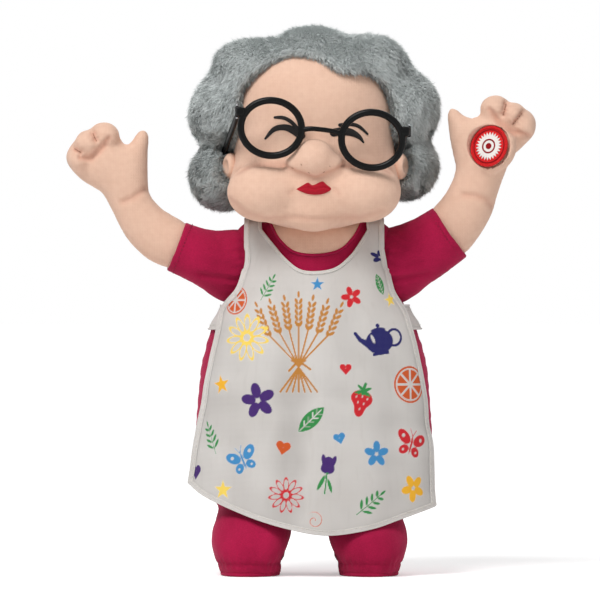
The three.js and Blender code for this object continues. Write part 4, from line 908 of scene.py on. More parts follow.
def foot_form(centre):
    rows = smooth_curve(FOOT_SECTIONS, 90)

    def field(points):
        back = points[:, 1] - TOE
        half, top, bottom = (np.interp(back, rows[:, 0], rows[:, k]) for k in (1, 2, 3))
        tall = (top - bottom) / 2
        lean = math.copysign(FOOT_LEAN, centre) * (FOOT_UPRIGHT - points[:, 2])
        across = np.abs(points[:, 0] - centre - lean) / half
        rise = np.abs(points[:, 2] - (top + bottom) / 2) / tall
        beyond = (across**FOOT_ROUNDNESS + rise**FOOT_ROUNDNESS) ** (1 / FOOT_ROUNDNESS) - 1
        side = beyond * np.minimum(half, tall)
        ends = np.maximum(-back, back - rows[-1, 0])
        egg = meet_soft(side, ends, 5)
        return meet_soft(join_soft(egg, plate_cover(points, centre), 7), SOLE_TOP - points[:, 2], 0.8)

    return field


feet = [foot_form(centre) for centre in LEG_CENTRES]


def legs_form(points):
    best = None
    for centre, foot in zip(LEG_CENTRES, feet):
        apart = np.hypot(points[:, 0] - centre, points[:, 1] - LEG_SETBACK) - LEG_RADIUS
        column = np.maximum(np.maximum(apart, LEG_BOTTOM - points[:, 2]), points[:, 2] - LEG_TOP)
        leg = join_soft(foot(points), column, 9)
        best = leg if best is None else np.minimum(best, leg)
    return best


WINDOW_X = (-34.8, 35)
WINDOW_Z = (88.4, 156.7)
WINDOW_ROUNDNESS = 0.22
WINDOW_FLOOR = 35  # how far behind the axis the body's form still fills the window


def body_form(points):
    whole = join_soft(trunk_form(points), legs_form(points), 7)
    low, high = (WINDOW_X[0], WINDOW_FLOOR, WINDOW_Z[0]), (WINDOW_X[1], BEHIND, WINDOW_Z[1])
    return meet_soft(whole, -slab(points, low, high), 1.5)


def window_rim(inset=0.0):
    """The battery window's rounded outline on the back of the dress."""
    angle = angles_round(96)
    x, z = (
        sum(ends) / 2 + ((ends[1] - ends[0]) / 2 - inset) * signed_power(turn, WINDOW_ROUNDNESS)
        for ends, turn in ((WINDOW_X, np.cos(angle)), (WINDOW_Z, np.sin(angle)))
    )
    return back_of(trunk_form, x, z, 80.0)


def seam_up_trunk(angle, low=50, high=212, count=40):
    """A seam that runs up the trunk at an angle round it, 0 to the left side and 90 to the front."""
    rows = smooth_curve(TRUNK_SECTIONS, 160)
    z = np.linspace(low, high, count)
    half, front, back = (np.interp(z, rows[:, 0], rows[:, k]) for k in (1, 2, 3))
    turn = math.radians(angle)
    x = half * signed_power(math.cos(turn), 2 / SQUARENESS)
    y = (front + back) / 2 - (back - front) / 2 * signed_power(math.sin(turn), 2 / SQUARENESS)
    return np.stack([x, y, z], -1)


def foot_seam(centre, height=8.0, count=60):
    """The line round a foot where its upper is gathered onto its sole."""
    angle = angles_round(count)
    middle = (TOE + HEEL) / 2
    start = np.stack([centre + 60 * np.cos(angle), middle + 90 * np.sin(angle), np.full(count, height)], -1)
    inward = unit((centre, middle, height) - start)
    found = ray_to(feet[LEG_CENTRES.index(centre)], start, inward, 100.0)
    return np.vstack([found, found[:1]])


def make_body():
    form = Form(body_form, (-82, -70, 0), (82, 58, 234), 1.7)
    form.soften(0.5, 34, 21)
    form.soften(0.18, 11, 22)
    for angle in (0, 180, 270):
        form.press(seam_up_trunk(angle), 1.6, 0.9, 0.8)
        form.gather(seam_up_trunk(angle), 7, 0.5, 9)
    for centre in LEG_CENTRES:
        form.press(foot_seam(centre), 1.1, 0.7, 0.8)
        form.gather(foot_seam(centre), 5, 0.7, 5.0)
    body = form.made("dress_body", MAGENTA, "dress")
    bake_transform(body)
    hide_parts("trunk_cover", "leg_left", "leg_right")
    rim = window_rim()
    binding = piece("window_binding", *swept(rim, 1.5, 10, closed=True, up=BACKWARD), MAGENTA, "dress")
    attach(binding, "trunk")
    inner = window_rim(-3.4)
    outward = np.tile(BACKWARD, (len(inner), 1))
    sewn = piece("window_stitches", *stitches(inner + outward * 0.2, outward), MAGENTA_THREAD, "dress")
    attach(sewn, "trunk")


def make_sole(side, centre):
    foot = feet[LEG_CENTRES.index(centre)]

    def field(points):
        level = points.copy()
        level[:, 2] = 4.0
        return meet_soft(foot(level) + 0.6, np.abs(points[:, 2] - 1.6) - 1.55, 1.6)

    form = Form(field, (centre - 27, TOE - 2, -1), (centre + 27, 34, 4), 0.8)
    form.soften(0.08, 9, 31)
    sole = form.made(f"sole_felt_{side}", MAGENTA, "dress", fill=0.3)
    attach(sole, "legs")
    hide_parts(f"sole_{side}")


# The sleeves

SHOULDER_OUT = 48.0
SHOULDER_HEIGHT = 197.0
SHOULDER_RADII = (24, 18, 24)
SLEEVE_CAPS = (14, 16)  # how far a sleeve's tube bulges past its first and last rows
CUFF_THICKNESS = 2.6
CUFF_DEEP = 7
LEFT_SLEEVE = [[48, 0, 197, 21, 17.5], [60, -1, 203, 21.6, 18], [74, -2, 210.5, 20, 18],
               [87.5, -3, 219.8, 19, 18]]
RIGHT_SLEEVE = [[-48, 0, 197, 21, 17.5], [-58, -1, 199.5, 20.6, 17.6], [-72, -2, 204, 18, 17],
                [-88.8, -3, 210.6, 16.7, 16.5]]


def sleeve_form(rows, side):
    last, before = np.array(rows[-1][:3], float), np.array(rows[-2][:3], float)
    ahead = unit(last - before)
    tube = limb(rows, *SLEEVE_CAPS)
    longer = limb([*rows, [*(last + ahead * 12), *rows[-1][3:]]], *SLEEVE_CAPS)

    def field(points):
        ball = ellipsoid(points, (side * SHOULDER_OUT, 0, SHOULDER_HEIGHT), SHOULDER_RADII)
        arm = join_soft(ball, longer(points), 5)
        beyond = (points - last) @ ahead
        hollow = tube(points - ahead * 8) + CUFF_THICKNESS
        open_end = meet_soft(arm, beyond, 1.2)
        deep = np.maximum(hollow, -(beyond + CUFF_DEEP))
        return meet_soft(open_end, -deep, 1.0)

    return field, last, ahead


def crease_sleeve(form, side, cuff, half_width):
    """The seam round the shoulder, the folds across the sleeve's front and the seam under it."""
    shoulder_seam = ((50, -18.4, 222), (47, -17.8, 209), (46, -18, 196), (47, -18, 180))
    for way in (1, -1):
        line = [(side * x, way * y, z) for x, y, z in shoulder_seam]
        form.press(line, 1.4, 0.8, 0.8)
        form.gather(line, 7, 0.8, 6)
    for offset, depth in ((-14, 1.1), (-7, 1.5), (2, 1.0)):
        spot = np.array([side * 62.0, -17.0, SHOULDER_HEIGHT + offset])
        line = smooth_curve([spot - (side * 12, 0, 2), spot, spot + (side * 11, 1.5, 4 + offset / 3)], 12)
        form.press(line, 2.4, depth, 0.6)
    under = [(side * 56, 4, 178), cuff + np.array([-side * 1.0, 4, -half_width])]
    form.press(under, 1.3, 0.5, 0.6)


def sew_cuff(name, field, cuff, ahead, half_width, half_depth):
    across = unit(np.cross(ahead, BACKWARD))
    angle = angles_round(72)[:, None]
    ring = cuff - ahead * 4.5 + np.cos(angle) * across * (half_width + 0.1)
    ring = ring + np.sin(angle) * BACKWARD * (half_depth + 0.1)
    ring, outward = settle(field, ring, 4)
    ring, outward = (np.vstack([loop, loop[:1]]) for loop in (ring, outward))
    sewn = piece(f"cuff_stitches_{name}", *stitches(ring, outward, thick=0.24), MAGENTA_THREAD, "dress")
    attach(sewn, f"{name}_arm")


def make_sleeve(name, rows, side):
    field, cuff, ahead = sleeve_form(rows, side)
    half_width, half_depth = rows[-1][3:]
    xs = sorted([side * 22, cuff[0] + side * 12])
    form = Form(field, (xs[0], -24, 168), (xs[1], 22, 246), 1.1)
    form.soften(0.35, 22, 41)
    form.soften(0.14, 8, 42)
    crease_sleeve(form, side, cuff, half_width)
    sleeve = form.made(f"sleeve_cloth_{name}", MAGENTA, "dress")
    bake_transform(sleeve)
    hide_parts(f"sleeve_{name}")
    sew_cuff(name, field, cuff, ahead, half_width, half_depth)


# The hands: each is cut flat from two pieces of knit and stuffed, so its front outline gives its shape

LEFT_HAND_OUTLINE = [
    (70, 222), (76, 233.6), (83, 242), (87, 248.3), (90.4, 256), (91.3, 262.4), (90, 268.8), (88, 278.4),
    (86.6, 288), (86, 295), (87.6, 299.4), (91.4, 298.8), (95.8, 295), (101.5, 292.8), (106.7, 295),
    (109, 300.2), (112.6, 305.4), (118.2, 307.2), (123, 305), (126.5, 302.7), (131.6, 302.1), (135.5, 299),
    (139.4, 296.4), (142.2, 292), (142.3, 287), (139.8, 280.6), (134.4, 275), (127.6, 268.4), (124, 261),
    (120.8, 252.6), (117.6, 243.2), (114.8, 233.6), (111, 225.4), (105.6, 216.3), (98, 207), (88, 203),
    (76, 206),
]
RIGHT_HAND_OUTLINE = [
    (-70, 212), (-83, 225), (-92.4, 231), (-98.8, 235), (-104.6, 241.4), (-107, 248), (-107.4, 260),
    (-107, 272), (-106.4, 279), (-107.2, 284.4), (-110, 286), (-113.5, 284), (-116.9, 278.6), (-120, 275.6),
    (-123.4, 277.4), (-127.4, 284), (-131, 288.6), (-136, 290), (-140.4, 289), (-144.4, 285.8),
    (-150.4, 283.6), (-153.8, 278.6), (-157.4, 274), (-159.4, 268.8), (-158.4, 263.6), (-154.2, 257.8),
    (-148.5, 252.6), (-140.8, 248), (-135.9, 244.5), (-132, 238), (-128.8, 231.4), (-125, 223.4),
    (-120, 215.4), (-113, 207.6), (-105, 201.4), (-94, 197), (-82, 197), (-72, 201),
]
LEFT_FINGERS = [[(116, -14, 299), (9.2, 9.6, 8.2)], [(127.5, -15, 294.5), (8.4, 9.6, 8.2)],
                [(134.6, -14, 287), (7.4, 9, 8.6)]]
RIGHT_FINGERS = [[(-134, -14, 281.6), (8.8, 9.6, 8.2)], [(-145.4, -15, 276.2), (8.4, 9.6, 8.2)],
                 [(-151, -14, 267), (7.4, 9, 8.6)]]
STUFFING_REACH = 10.0  # how far in from a seam the stuffing still rounds the knit
STUFFING_PUSH = 2.7
STUFFING_ROUNDS = 1400
OUTSIDE_FALL = 17.0  # how fast the table falls away outside the outline
HAND_CELL = 1.0


def stuffed_height(outline):
    """The squared half thickness of a stuffed pair of flat cloths sewn round an outline, as a table."""
    low, high = outline.min(0) - 8, outline.max(0) + 8
    xs, zs = np.arange(low[0], high[0], HAND_CELL), np.arange(low[1], high[1], HAND_CELL)
    grid = np.stack(np.meshgrid(xs, zs, indexing="ij"), -1)
    away = inside_outline(grid.reshape(-1, 2), outline).reshape(grid.shape[:2])
    inside = away < 0
    swelling = np.where(inside, 0.0, -OUTSIDE_FALL * away)
    fixed = swelling.copy()
    hold = 4 + (HAND_CELL / STUFFING_REACH) ** 2
    for _ in range(STUFFING_ROUNDS):
        around = sum(np.roll(swelling, shift, axis) for axis in (0, 1) for shift in (-1, 1))
        swelling = np.where(inside, (around + STUFFING_PUSH * HAND_CELL**2) / hold, fixed)
    return low, swelling


def read_table(low, table, x, z):
    """A smooth reading of a table over the plane, with its values between cells."""
    u = np.clip((x - low[0]) / HAND_CELL, 0, table.shape[0] - 1.001)
    v = np.clip((z - low[1]) / HAND_CELL, 0, table.shape[1] - 1.001)
    i, j = u.astype(int), v.astype(int)
    u, v = u - i, v - j
    first = table[i, j] * (1 - u) + table[i + 1, j] * u
    second = table[i, j + 1] * (1 - u) + table[i + 1, j + 1] * u
    return first * (1 - v) + second * v


def flat_cut(outline, lean):
    """A field for a stuffed flat cut. lean gives the y of its middle plane from a height."""
    low, swelling = stuffed_height(smooth_curve([*outline, outline[0]], 180))
    steep_x, steep_z = np.gradient(swelling, HAND_CELL)
    steep = np.hypot(steep_x, steep_z)

    def field(points):
        x, z = points[:, 0], points[:, 2]
        off = points[:, 1] - lean(z)
        rise = read_table(low, swelling, x, z)
        slope = read_table(low, steep, x, z)
        return (off**2 - rise) / np.sqrt(4 * off**2 + slope**2 + 9)

    return field


def hand_middle(z):
    return np.interp(z, [195, 225, 262, 300], [-3, -4, -7, -10])


PRESS_CENTRE = np.array([112, -23.4, 274.6])
PRESS_FACING = unit(np.array([-0.5, -0.84, 0.2]))
PRESS_RADIUS = 13.5
PRESS_DEEP = 1.4
WELL_DEEP = 4.3
WELL_GAP = 0.45
CUSHION_RADIUS, CUSHION_ROUND, CUSHION_BEHIND = PRESS_RADIUS - 3, 5.2, 6.2


def palm_frame():
    """Across, up and out of the press patch."""
    across = unit(np.cross([0, 0, 1.0], PRESS_FACING))
    return -across, np.cross(PRESS_FACING, -across), PRESS_FACING


def in_palm(points):
    """Points measured from the middle of the press patch's face: across, up, out."""
    return (points - PRESS_CENTRE) @ np.stack(palm_frame(), -1)


def from_palm(points):
    return PRESS_CENTRE + points @ np.stack(palm_frame())


def hand_form(outline, fingers, pressed):
    flat = flat_cut(outline, hand_middle)

    def field(points):
        whole = with_balls(flat(points), points, fingers, 2.4)
        if not pressed:
            return whole
        local = in_palm(points)
        away = np.hypot(local[:, 0], local[:, 1])
        apart = np.stack([away - CUSHION_RADIUS, np.abs(local[:, 2] + CUSHION_BEHIND) - 0.6], -1)
        whole = join_soft(whole, length(np.maximum(apart, 0)) - CUSHION_ROUND, 4)
        well = np.maximum(away - PRESS_RADIUS - WELL_GAP, -WELL_DEEP - local[:, 2])
        return meet_soft(whole, -well, 0.4)

    return field


left_hand_form = hand_form(LEFT_HAND_OUTLINE, LEFT_FINGERS, True)
right_hand_form = hand_form(RIGHT_HAND_OUTLINE, RIGHT_FINGERS, False)

# Sewn lines on the hands, as they lie from the front: between the fingers, under them, and at the wrist
LEFT_DIVISIONS = [[(123.4, 303), (121.3, 295)], [(134.2, 297), (127.8, 289)]]
RIGHT_DIVISIONS = [[(-142.3, 283.5), (-139.8, 278.2)], [(-154.4, 273.4), (-149.8, 270.8)]]
LEFT_CREASES = [[(137.5, 281), (129, 283.5), (119, 289.5), (112, 298)],
                [(96, 243.5), (103, 243), (110, 240.5), (115, 236.5)]]
RIGHT_CREASES = [[(-150, 267.4), (-144, 266.8), (-137.6, 272), (-131.6, 279.6)],
                 [(-123, 239), (-117, 241.2), (-108, 247.4)]]


def sewn_line(field, line, t, deep):
    """Points on a form's front at shares t along a straight line given from the front, sunk in a little."""
    (x0, z0), (x1, z1) = line
    return front_of(field, x0 + (x1 - x0) * t, z0 + (z1 - z0) * t) + BACKWARD * deep


def make_hand(name, field, low, high, divisions, creases):
    form = Form(field, low, high, 0.9)
    form.soften(0.25, 18, 51)
    for line in divisions:
        form.press(line, 1.5, 1.5, 0.55, FRONT)
        form.gather(line, 5, 0.5, 3.2, FRONT, 0.2)
    form.press(creases[0], 2.0, 1.7, 0.7, FRONT)
    form.press(creases[1], 2.1, 1.2, 0.42, FRONT)
    hand = form.made(f"hand_knit_{name}", SKIN, "skin")
    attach(hand, f"{name}_arm")
    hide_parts(f"hand_{name}")
    parts = []
    for line in divisions:
        for share in np.arange(0.12, 0.95, 0.2):
            at = sewn_line(field, line, np.array([share, share + 0.07, share + 0.14]), 1.15)
            parts.append(swept(at, 0.26, 6, up=BACKWARD))
    sewn = piece(f"finger_stitches_{name}", *together(parts), BROWN_THREAD, "skin")
    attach(sewn, f"{name}_arm")


# The press patch in the palm: a printed felt disc with an overlocked edge


def disc_of(radius, rings, sides, height):
    """Points and faces of a disc whose height is a function of the distance from its middle."""
    far, angle = np.meshgrid(np.linspace(0, radius, rings + 1)[1:], angles_round(sides), indexing="ij")
    points = np.stack([far * np.cos(angle), far * np.sin(angle), height(far)], -1).reshape(-1, 3)
    points = np.vstack([points, [[0, 0, height(np.zeros(1))[0]]]])
    return points, [ring_quads(rings, sides), fan(rings * sides, 0, sides)]


def level_ring(radius, height, sides):
    """Points round the patch's middle at a height. Radius is one number, or one for each angle."""
    angle = angles_round(sides)
    return np.stack([radius * np.cos(angle), radius * np.sin(angle), np.full(sides, height)], -1)


def star_edge(angle, radius=9.4, points=26, deep=0.24):
    """How far a starburst's edge reaches at each angle."""
    saw = np.abs((angle * points / (2 * np.pi)) % 1 - 0.5) * 2
    return radius * (1 - deep * saw)


def printed_shape(edge, height, thick=0.12, sides=416, rings=8):
    """A thin printed layer with a given edge round the patch's middle."""
    reach = edge(angles_round(sides))
    points = [level_ring(reach * share, height, sides) for share in np.linspace(0, 1, rings + 1)[1:]]
    points = np.vstack([*points, level_ring(reach, height - thick, sides), [[0, 0, height]]])
    return points, [ring_quads(rings + 1, sides), fan((rings + 1) * sides, 0, sides)]


def printed_ring(inner, outer, height, thick=0.12, sides=96):
    rows = [(inner, height - thick), (inner, height), (outer, height), (outer, height - thick)]
    return np.vstack([level_ring(*row, sides) for row in rows]), [ring_quads(len(rows), sides)]


OVERLOCK_LEVEL = -0.25
OVERLOCK_COIL = 0.78  # the radius of the thread's turns round the felt's edge
OVERLOCK_TURNS = 88


def make_press_patch():
    felt_radius = PRESS_RADIUS - 0.9
    upper = disc_of(felt_radius, 12, 72, lambda far: 0.5 * (1 - (far / PRESS_RADIUS) ** 2) - 0.35)
    points, faces = disc_of(felt_radius, 3, 72, lambda far: np.full(np.shape(far), -PRESS_DEEP))
    points, faces = together([upper, (points, [group[:, ::-1] for group in faces])])
    felt = piece("press_patch_felt", from_palm(points), faces, RED_FELT, "patch")
    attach(felt, "press_button")
    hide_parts("press_patch")
    edge = level_ring(felt_radius, OVERLOCK_LEVEL, 150)
    t = angles_round(OVERLOCK_TURNS * 12)
    out = felt_radius + OVERLOCK_COIL * np.cos(OVERLOCK_TURNS * t)
    up = OVERLOCK_LEVEL + OVERLOCK_COIL * np.sin(OVERLOCK_TURNS * t)
    wound = np.stack([out * np.cos(t), out * np.sin(t), up], -1)
    points, faces = together([swept(edge, 0.75, 8, closed=True), swept(wound, 0.27, 5, closed=True)])
    rim = piece("press_patch_rim", from_palm(points), faces, RED_THREAD, "patch")
    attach(rim, "press_button")
    layers = [
        ("press_patch_ring", printed_ring(10.5, 11.2, 0.1), DARK_RED),
        ("press_patch_star", printed_shape(star_edge, 0.32), PATCH_WHITE),
        ("press_patch_target", printed_ring(3.8, 4.8, 0.46), DARK_RED),
        ("press_patch_dot", printed_shape(lambda angle: 2.0 + 0 * angle, 0.5), DARK_RED),
    ]
    for name, (points, faces), finish in layers:
        layer = piece(name, from_palm(points), faces, finish, "patch")
        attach(layer, "press_button")


# The head

HEAD_SECTIONS = [
    [221, 14, -38, -6], [225, 31, -47, 5], [232, 46, -54, 26], [243, 55.2, -58.5, 33], [255, 54.5, -57, 41],
    [270, 52, -52, 46], [286, 51, -50, 48], [301, 50, -48.5, 48], [315, 45.5, -44.5, 45], [328, 36, -36, 37],
    [336, 24, -25, 27], [340, 9, -10, 12],
]
NOSTRILS = [[(side * 11.5, -53, 262.5), (7.6, 8.5, 6.6)] for side in (-1, 1)]
NOSE = [*NOSTRILS, [(0, -56.5, 266.5), (12.6, 10.5, 12)]]
CHEEKS = [[(side * 32, -44, 245), (23.4, 19, 19.4)] for side in (-1, 1)]
CHIN = [(-1, -45, 233), (21, 13, 13.4)]
EARS = {"left": [(55.4, -13, 262), (5.4, 8, 8.6)], "right": [(-53.6, -13, 262), (5.4, 8, 8.6)]}
NECK_RADIUS, NECK_MIDDLE, NECK_HALF = 21, 215.2, 17.2
SOCKET_COVER = (27.4, 235.2, 3.2)  # the cover's radius, its middle height and half its thickness
HEAD_TURN = 24.0
STRAP_ROOM = 4.8

plain_head = upright(HEAD_SECTIONS)


def strap_swing(points):
    """The space under the head that the shoulders, and the straps on them, pass through as it turns."""
    swept_space = None
    for degrees in (-HEAD_TURN, -HEAD_TURN / 2, 0, HEAD_TURN / 2, HEAD_TURN):
        c, s = math.cos(math.radians(degrees)), math.sin(math.radians(degrees))
        turned = points @ np.array([[c, s, 0], [-s, c, 0], [0, 0, 1]])
        for centre, radii in SHOULDER_PADS:
            pad = ellipsoid(turned, centre, radii) - STRAP_ROOM
            swept_space = pad if swept_space is None else np.minimum(swept_space, pad)
    return swept_space


def head_form(points):
    whole = with_balls(plain_head(points), points, CHEEKS, 6)
    whole = with_balls(whole, points, [CHIN], 5)
    whole = with_balls(whole, points, NOSE, 4.5)
    whole = meet_soft(whole, -strap_swing(points), 3)
    radius, middle, half = SOCKET_COVER
    away = np.hypot(points[:, 0], points[:, 1])
    cover = meet_soft(away - radius, np.abs(points[:, 2] - middle) - half, 1.5)
    return join_soft(whole, cover, 2)


def mirrored(line):
    return [(-x, z) for x, z in line]


def make_head():
    form = Form(head_form, (-62, -76, 212), (62, 56, 346), 1.15)
    form.soften(0.25, 30, 61)
    pouch = [(-49, 258), (-40, 262.6), (-30, 263.2), (-20, 262)]
    for line in (pouch, mirrored(pouch)):
        form.press(line, 2.2, 1.4, 0.55, FRONT)
    wing = [(-20, 262), (-20.2, 265), (-17.6, 268.6)]
    for line in (wing, mirrored(wing)):
        form.press(line, 1.8, 0.7, 0.3, FRONT)
    under_nose = [(-20, 262.2), (-14, 258.6), (-7, 256.2), (0.6, 253.8), (8, 256.4), (14, 259),
                  (19.6, 262.6)]
    form.press(smooth_curve(under_nose, 30), 1.3, 0.9, 0.6, FRONT)
    corners = [(-12.6, 246.4), (-15.4, 243.6)]
    for line in (corners, mirrored(corners)):
        form.press(line, 1.8, 0.7, 0.3, FRONT)
    jaw = [(-54, 240), (-44, 231.5), (-30, 227), (-14, 228.4), (0, 227), (14, 228), (30, 228), (44, 232.5)]
    form.press(jaw, 2.2, 1.0, 0.35, FRONT)
    head = form.made("head_knit", SKIN, "skin")
    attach(head, "head")
    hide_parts("head")


def make_ear(name):
    centre, radii = EARS[name]
    side = 1 if name == "left" else -1

    def field(points):
        outer = ellipsoid(points, centre, radii)
        hollow = ellipsoid(points, np.array(centre) + (side * 4.5, -5.5, 0), (3.0, 4.0, 4.8))
        return meet_soft(outer, -hollow, 1.8)

    reach = np.array(radii) + 2
    form = Form(field, centre - reach, centre + reach, 0.6)
    form.soften(0.12, 8, 62)
    made = form.made(f"ear_knit_{name}", SKIN, "skin", fill=0.6)
    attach(made, "head")
    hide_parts(f"ear_{name}")


def sewn_on_head(name, shape, thick, low, high, finish, step=0.32, edge=0.35):
    """A thin raised shape on the face, whose outline is a signed distance as seen from the front."""

    def field(points):
        base = head_form(points)
        outline = shape(points[:, [0, 2]])
        raised = np.maximum(base - thick * np.clip(-outline / 1.6, 0.35, 1) ** 0.5, -(base + 1.2))
        return meet_soft(raised, outline, edge)

    xs, zs = np.meshgrid(np.linspace(low[0], high[0], 5), np.linspace(low[1], high[1], 5))
    depths = front_of(head_form, xs.ravel(), zs.ravel())[:, 1]
    near, far = depths.min() - 3, depths.max() + 3
    points, faces, _ = stuffed(field, (low[0], near, low[1]), (high[0], far, high[1]), step)
    made = piece(name, points, faces, finish, "skin")
    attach(made, "head")


def brush_stroke(line, widths, count=40):
    """The signed distance to a curved stroke whose half width changes along it."""
    line = smooth_curve(line, count)
    run = run_along(line)
    widths = smooth_curve(np.array(widths, float)[:, None], count)[:, 0]

    def shape(points):
        away, along = near_line(points, line)
        return away - np.interp(along, run, widths)

    return shape


# Where the face's stitching lies from the front: x from the trunk's axis, and height
RIGHT_LID = [(-31.2, 279), (-25.6, 284.8), (-19, 286), (-13.4, 284), (-8.4, 280.8)]
RIGHT_BROW = [(-25.2, 292.4), (-20, 292.2), (-14.9, 289.6), (-10.4, 284.6)]
LEFT_LID = [(12.4, 282.6), (17.6, 283.4), (23.4, 282.8), (28.6, 280), (31.4, 276.6)]
LEFT_BROW = [(16.4, 287.4), (22.8, 288), (28.6, 286.6), (34, 282)]
MOUTH = [(-11.7, 246.4), (-7.6, 248.8), (-4, 250.6), (-0.8, 249), (4.9, 251.4), (7.8, 249.4), (10.7, 246.4),
         (6.2, 243.6), (0.4, 242.8), (-5.8, 243.8)]


def make_eyes():
    strokes = {
        "eye_lid_right": (RIGHT_LID, [0.7, 1.6, 2.0, 2.4, 2.7]),
        "eye_brow_right": (RIGHT_BROW, [0.8, 1.15, 1.25, 1.3]),
        "eye_lid_left": (LEFT_LID, [2.6, 2.6, 2.4, 1.5, 0.6]),
        "eye_brow_left": (LEFT_BROW, [1.2, 1.25, 1.15, 0.7]),
    }
    for name, (line, widths) in strokes.items():
        low, high = np.min(line, 0) - 3, np.max(line, 0) + 3
        sewn_on_head(name, brush_stroke(line, widths), 0.8, low, high, BLACK_THREAD)


def make_lips():
    outline = smooth_curve([*MOUTH, MOUTH[0]], 90)
    seam = smooth_curve([(-11.2, 246.4), (-4, 247.2), (0, 246.2), (5, 247.4), (10.2, 246.4)], 30)

    def field(points):
        base, seen = head_form(points), points[:, [0, 2]]
        edge, (away, _) = inside_outline(seen, outline), near_line(seen, seam)
        puff = 1.7 * np.sqrt(np.clip(-edge / 3.2, 0, 1)) - 0.75 * np.exp(-((away / 0.8) ** 2))
        return meet_soft(np.maximum(base - 0.35 - puff, -(base + 1.2)), edge, 0.4)

    points, faces, _ = stuffed(field, (-13.5, -68, 240), (12.5, -50, 254), 0.36)
    made = piece("lips", points, faces, LIP_THREAD, "skin")
    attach(made, "head")


def sew_nose():
    """Single stitches that hold the nose's folds."""
    stitches_at = [[(-8.6, 262.4), (-8.0, 261.4)], [(9.6, 261.2), (10.2, 260.4)],
                   [(-14.6, 260), (-13.2, 259.6)], [(-4, 257), (-2.8, 256.4)], [(5.6, 257), (6.8, 257.4)]]
    t = np.linspace(0, 1, 7)
    parts = [swept(sewn_line(head_form, line, t, -0.05), 0.16, 6, up=BACKWARD) for line in stitches_at]
    sewn = piece("nose_stitches", *together(parts), BROWN_THREAD, "skin")
    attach(sewn, "head")


# The neck, with its scoop of skin above the dress

NECK_SKIN_OUTLINE = [(-31, 232), (-28, 225), (-22, 214.4), (-12.4, 206.5), (2.4, 204.8), (16.4, 208),
                     (25, 216), (30, 225), (32, 232)]
PIPING_TOP = 226.5  # the piping stops here, where the head would meet it


def make_neck():
    outline = smooth_curve(NECK_SKIN_OUTLINE, 60)

    def field(points):
        scoop = meet_soft(trunk_form(points) - 1.0, inside_outline(points[:, [0, 2]], outline), 1.2)
        scoop = np.maximum(scoop, points[:, 1] - 4)
        away = np.hypot(points[:, 0], points[:, 1])
        neck = np.maximum(away - NECK_RADIUS + 0.2, np.abs(points[:, 2] - NECK_MIDDLE) - NECK_HALF)
        return join_soft(scoop, neck, 4)

    form = Form(field, (-34, -34, 196), (36, 26, 235), 0.9)
    form.soften(0.25, 16, 71)
    made = form.made("neck_knit", SKIN, "skin")
    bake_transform(made)
    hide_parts("neck_skin")
    line = front_of(lambda p: trunk_form(p) - 0.9, outline[6:-6, 0], outline[6:-6, 1])
    keep = (line[:, 1] < 0) & (line[:, 2] < PIPING_TOP)
    piping = piece("neckline_piping", *swept(line[keep], 0.9, 8), MAGENTA, "dress")
    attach(piping, "trunk")


# The glasses, made level about their middle and then tilted

GLASSES_MIDDLE = np.array([4.6, -61.8, 281.4])
GLASSES_TILT = math.radians(6.8)
RIM_TUBE = 2.25
RIM_HALF_WIDTH = 21.6
RIM_HALF_HEIGHT = 19.8
RIM_SPACING = 64.4
HINGE_LIFT = 8.0
HINGE_OUT = RIM_SPACING / 2 + RIM_HALF_WIDTH - 0.4
HINGE_BLOCK = (5.6, 4.6, 6.2)
HINGE_PIN = (1.7, 0.4)  # how far out and back from an arm's start its hinge stands
TEMPLE_REST = np.array([57, -12, 273.6])


def tilted(points):
    c, s = math.cos(GLASSES_TILT), math.sin(GLASSES_TILT)
    points = np.asarray(points, float)
    x, y, z = points[:, 0], points[:, 1], points[:, 2]
    return np.stack([c * x + s * z, y, -s * x + c * z], -1) + GLASSES_MIDDLE


def temple_path(side, count=60):
    """The line of an arm of the glasses, from its hinge back over the ear."""
    start = tilted([(side * HINGE_OUT, 2.8, HINGE_LIFT)])[0]
    rest = TEMPLE_REST * (side, 1, 1)
    way = [start, start + (0, 4, 0), (start * 2 + rest) / 3 + (0, 0, 1), rest, rest + (side * 0.5, 10, -2.5),
           rest + (0, 19, -8)]
    return smooth_curve(way, count)


# The front part of both arms, which the hair keeps clear of
TEMPLE_PATHS = [temple_path(side, 16)[:12] for side in (-1, 1)]
TEMPLE_ROOM = 5.6  # how far the hair keeps from the arms of the glasses


# The wig

# Each lobe's middle and its three radii
WIG_LOBES = [
    [0, 10, 297, 62, 52, 51], [-1.5, -3, 332, 25, 34, 20], [-40, 2, 323, 28, 33, 23],
    [36, 2, 325, 27, 33, 23], [-57.5, 9, 296, 24.5, 36, 27], [57.5, 9, 299, 24.8, 36, 27],
    [-58, 11, 256, 24, 34, 23.5], [57, 11, 262, 24.6, 34, 23], [-24, 32, 314, 30, 33, 27],
    [26, 32, 314, 30, 33, 27], [0, 36, 282, 40, 30, 30], [-32, 32, 262, 30, 28, 28],
    [32, 32, 264, 30, 28, 28],
]
PILE = 4.4
PILE_STANDS = 2.6
CAP_THICKNESS = 6.0
CAP_BOTTOM = 262
EAR_ROOM = 2.6
HAIRLINE = [
    (-47.8, 290), (-47.6, 297.6), (-46.9, 304), (-44.4, 311.7), (-38, 319.4), (-29.6, 325.8), (-22, 329.6),
    (-14.3, 331.6), (-6, 331.6), (0.4, 330.2), (6.8, 327.4), (11, 323.2), (17, 320.8), (24.1, 320),
    (32.4, 320.6), (38.2, 318.1), (44, 313), (47.2, 307.2), (49.1, 300.8), (50.4, 291),
]


# The outline that the hair leaves free, with the face below the hairline
FACE_OPENING = np.array([*smooth_curve(HAIRLINE, 80), (51, 268), (51, 215), (-49, 215), (-49, 268)])


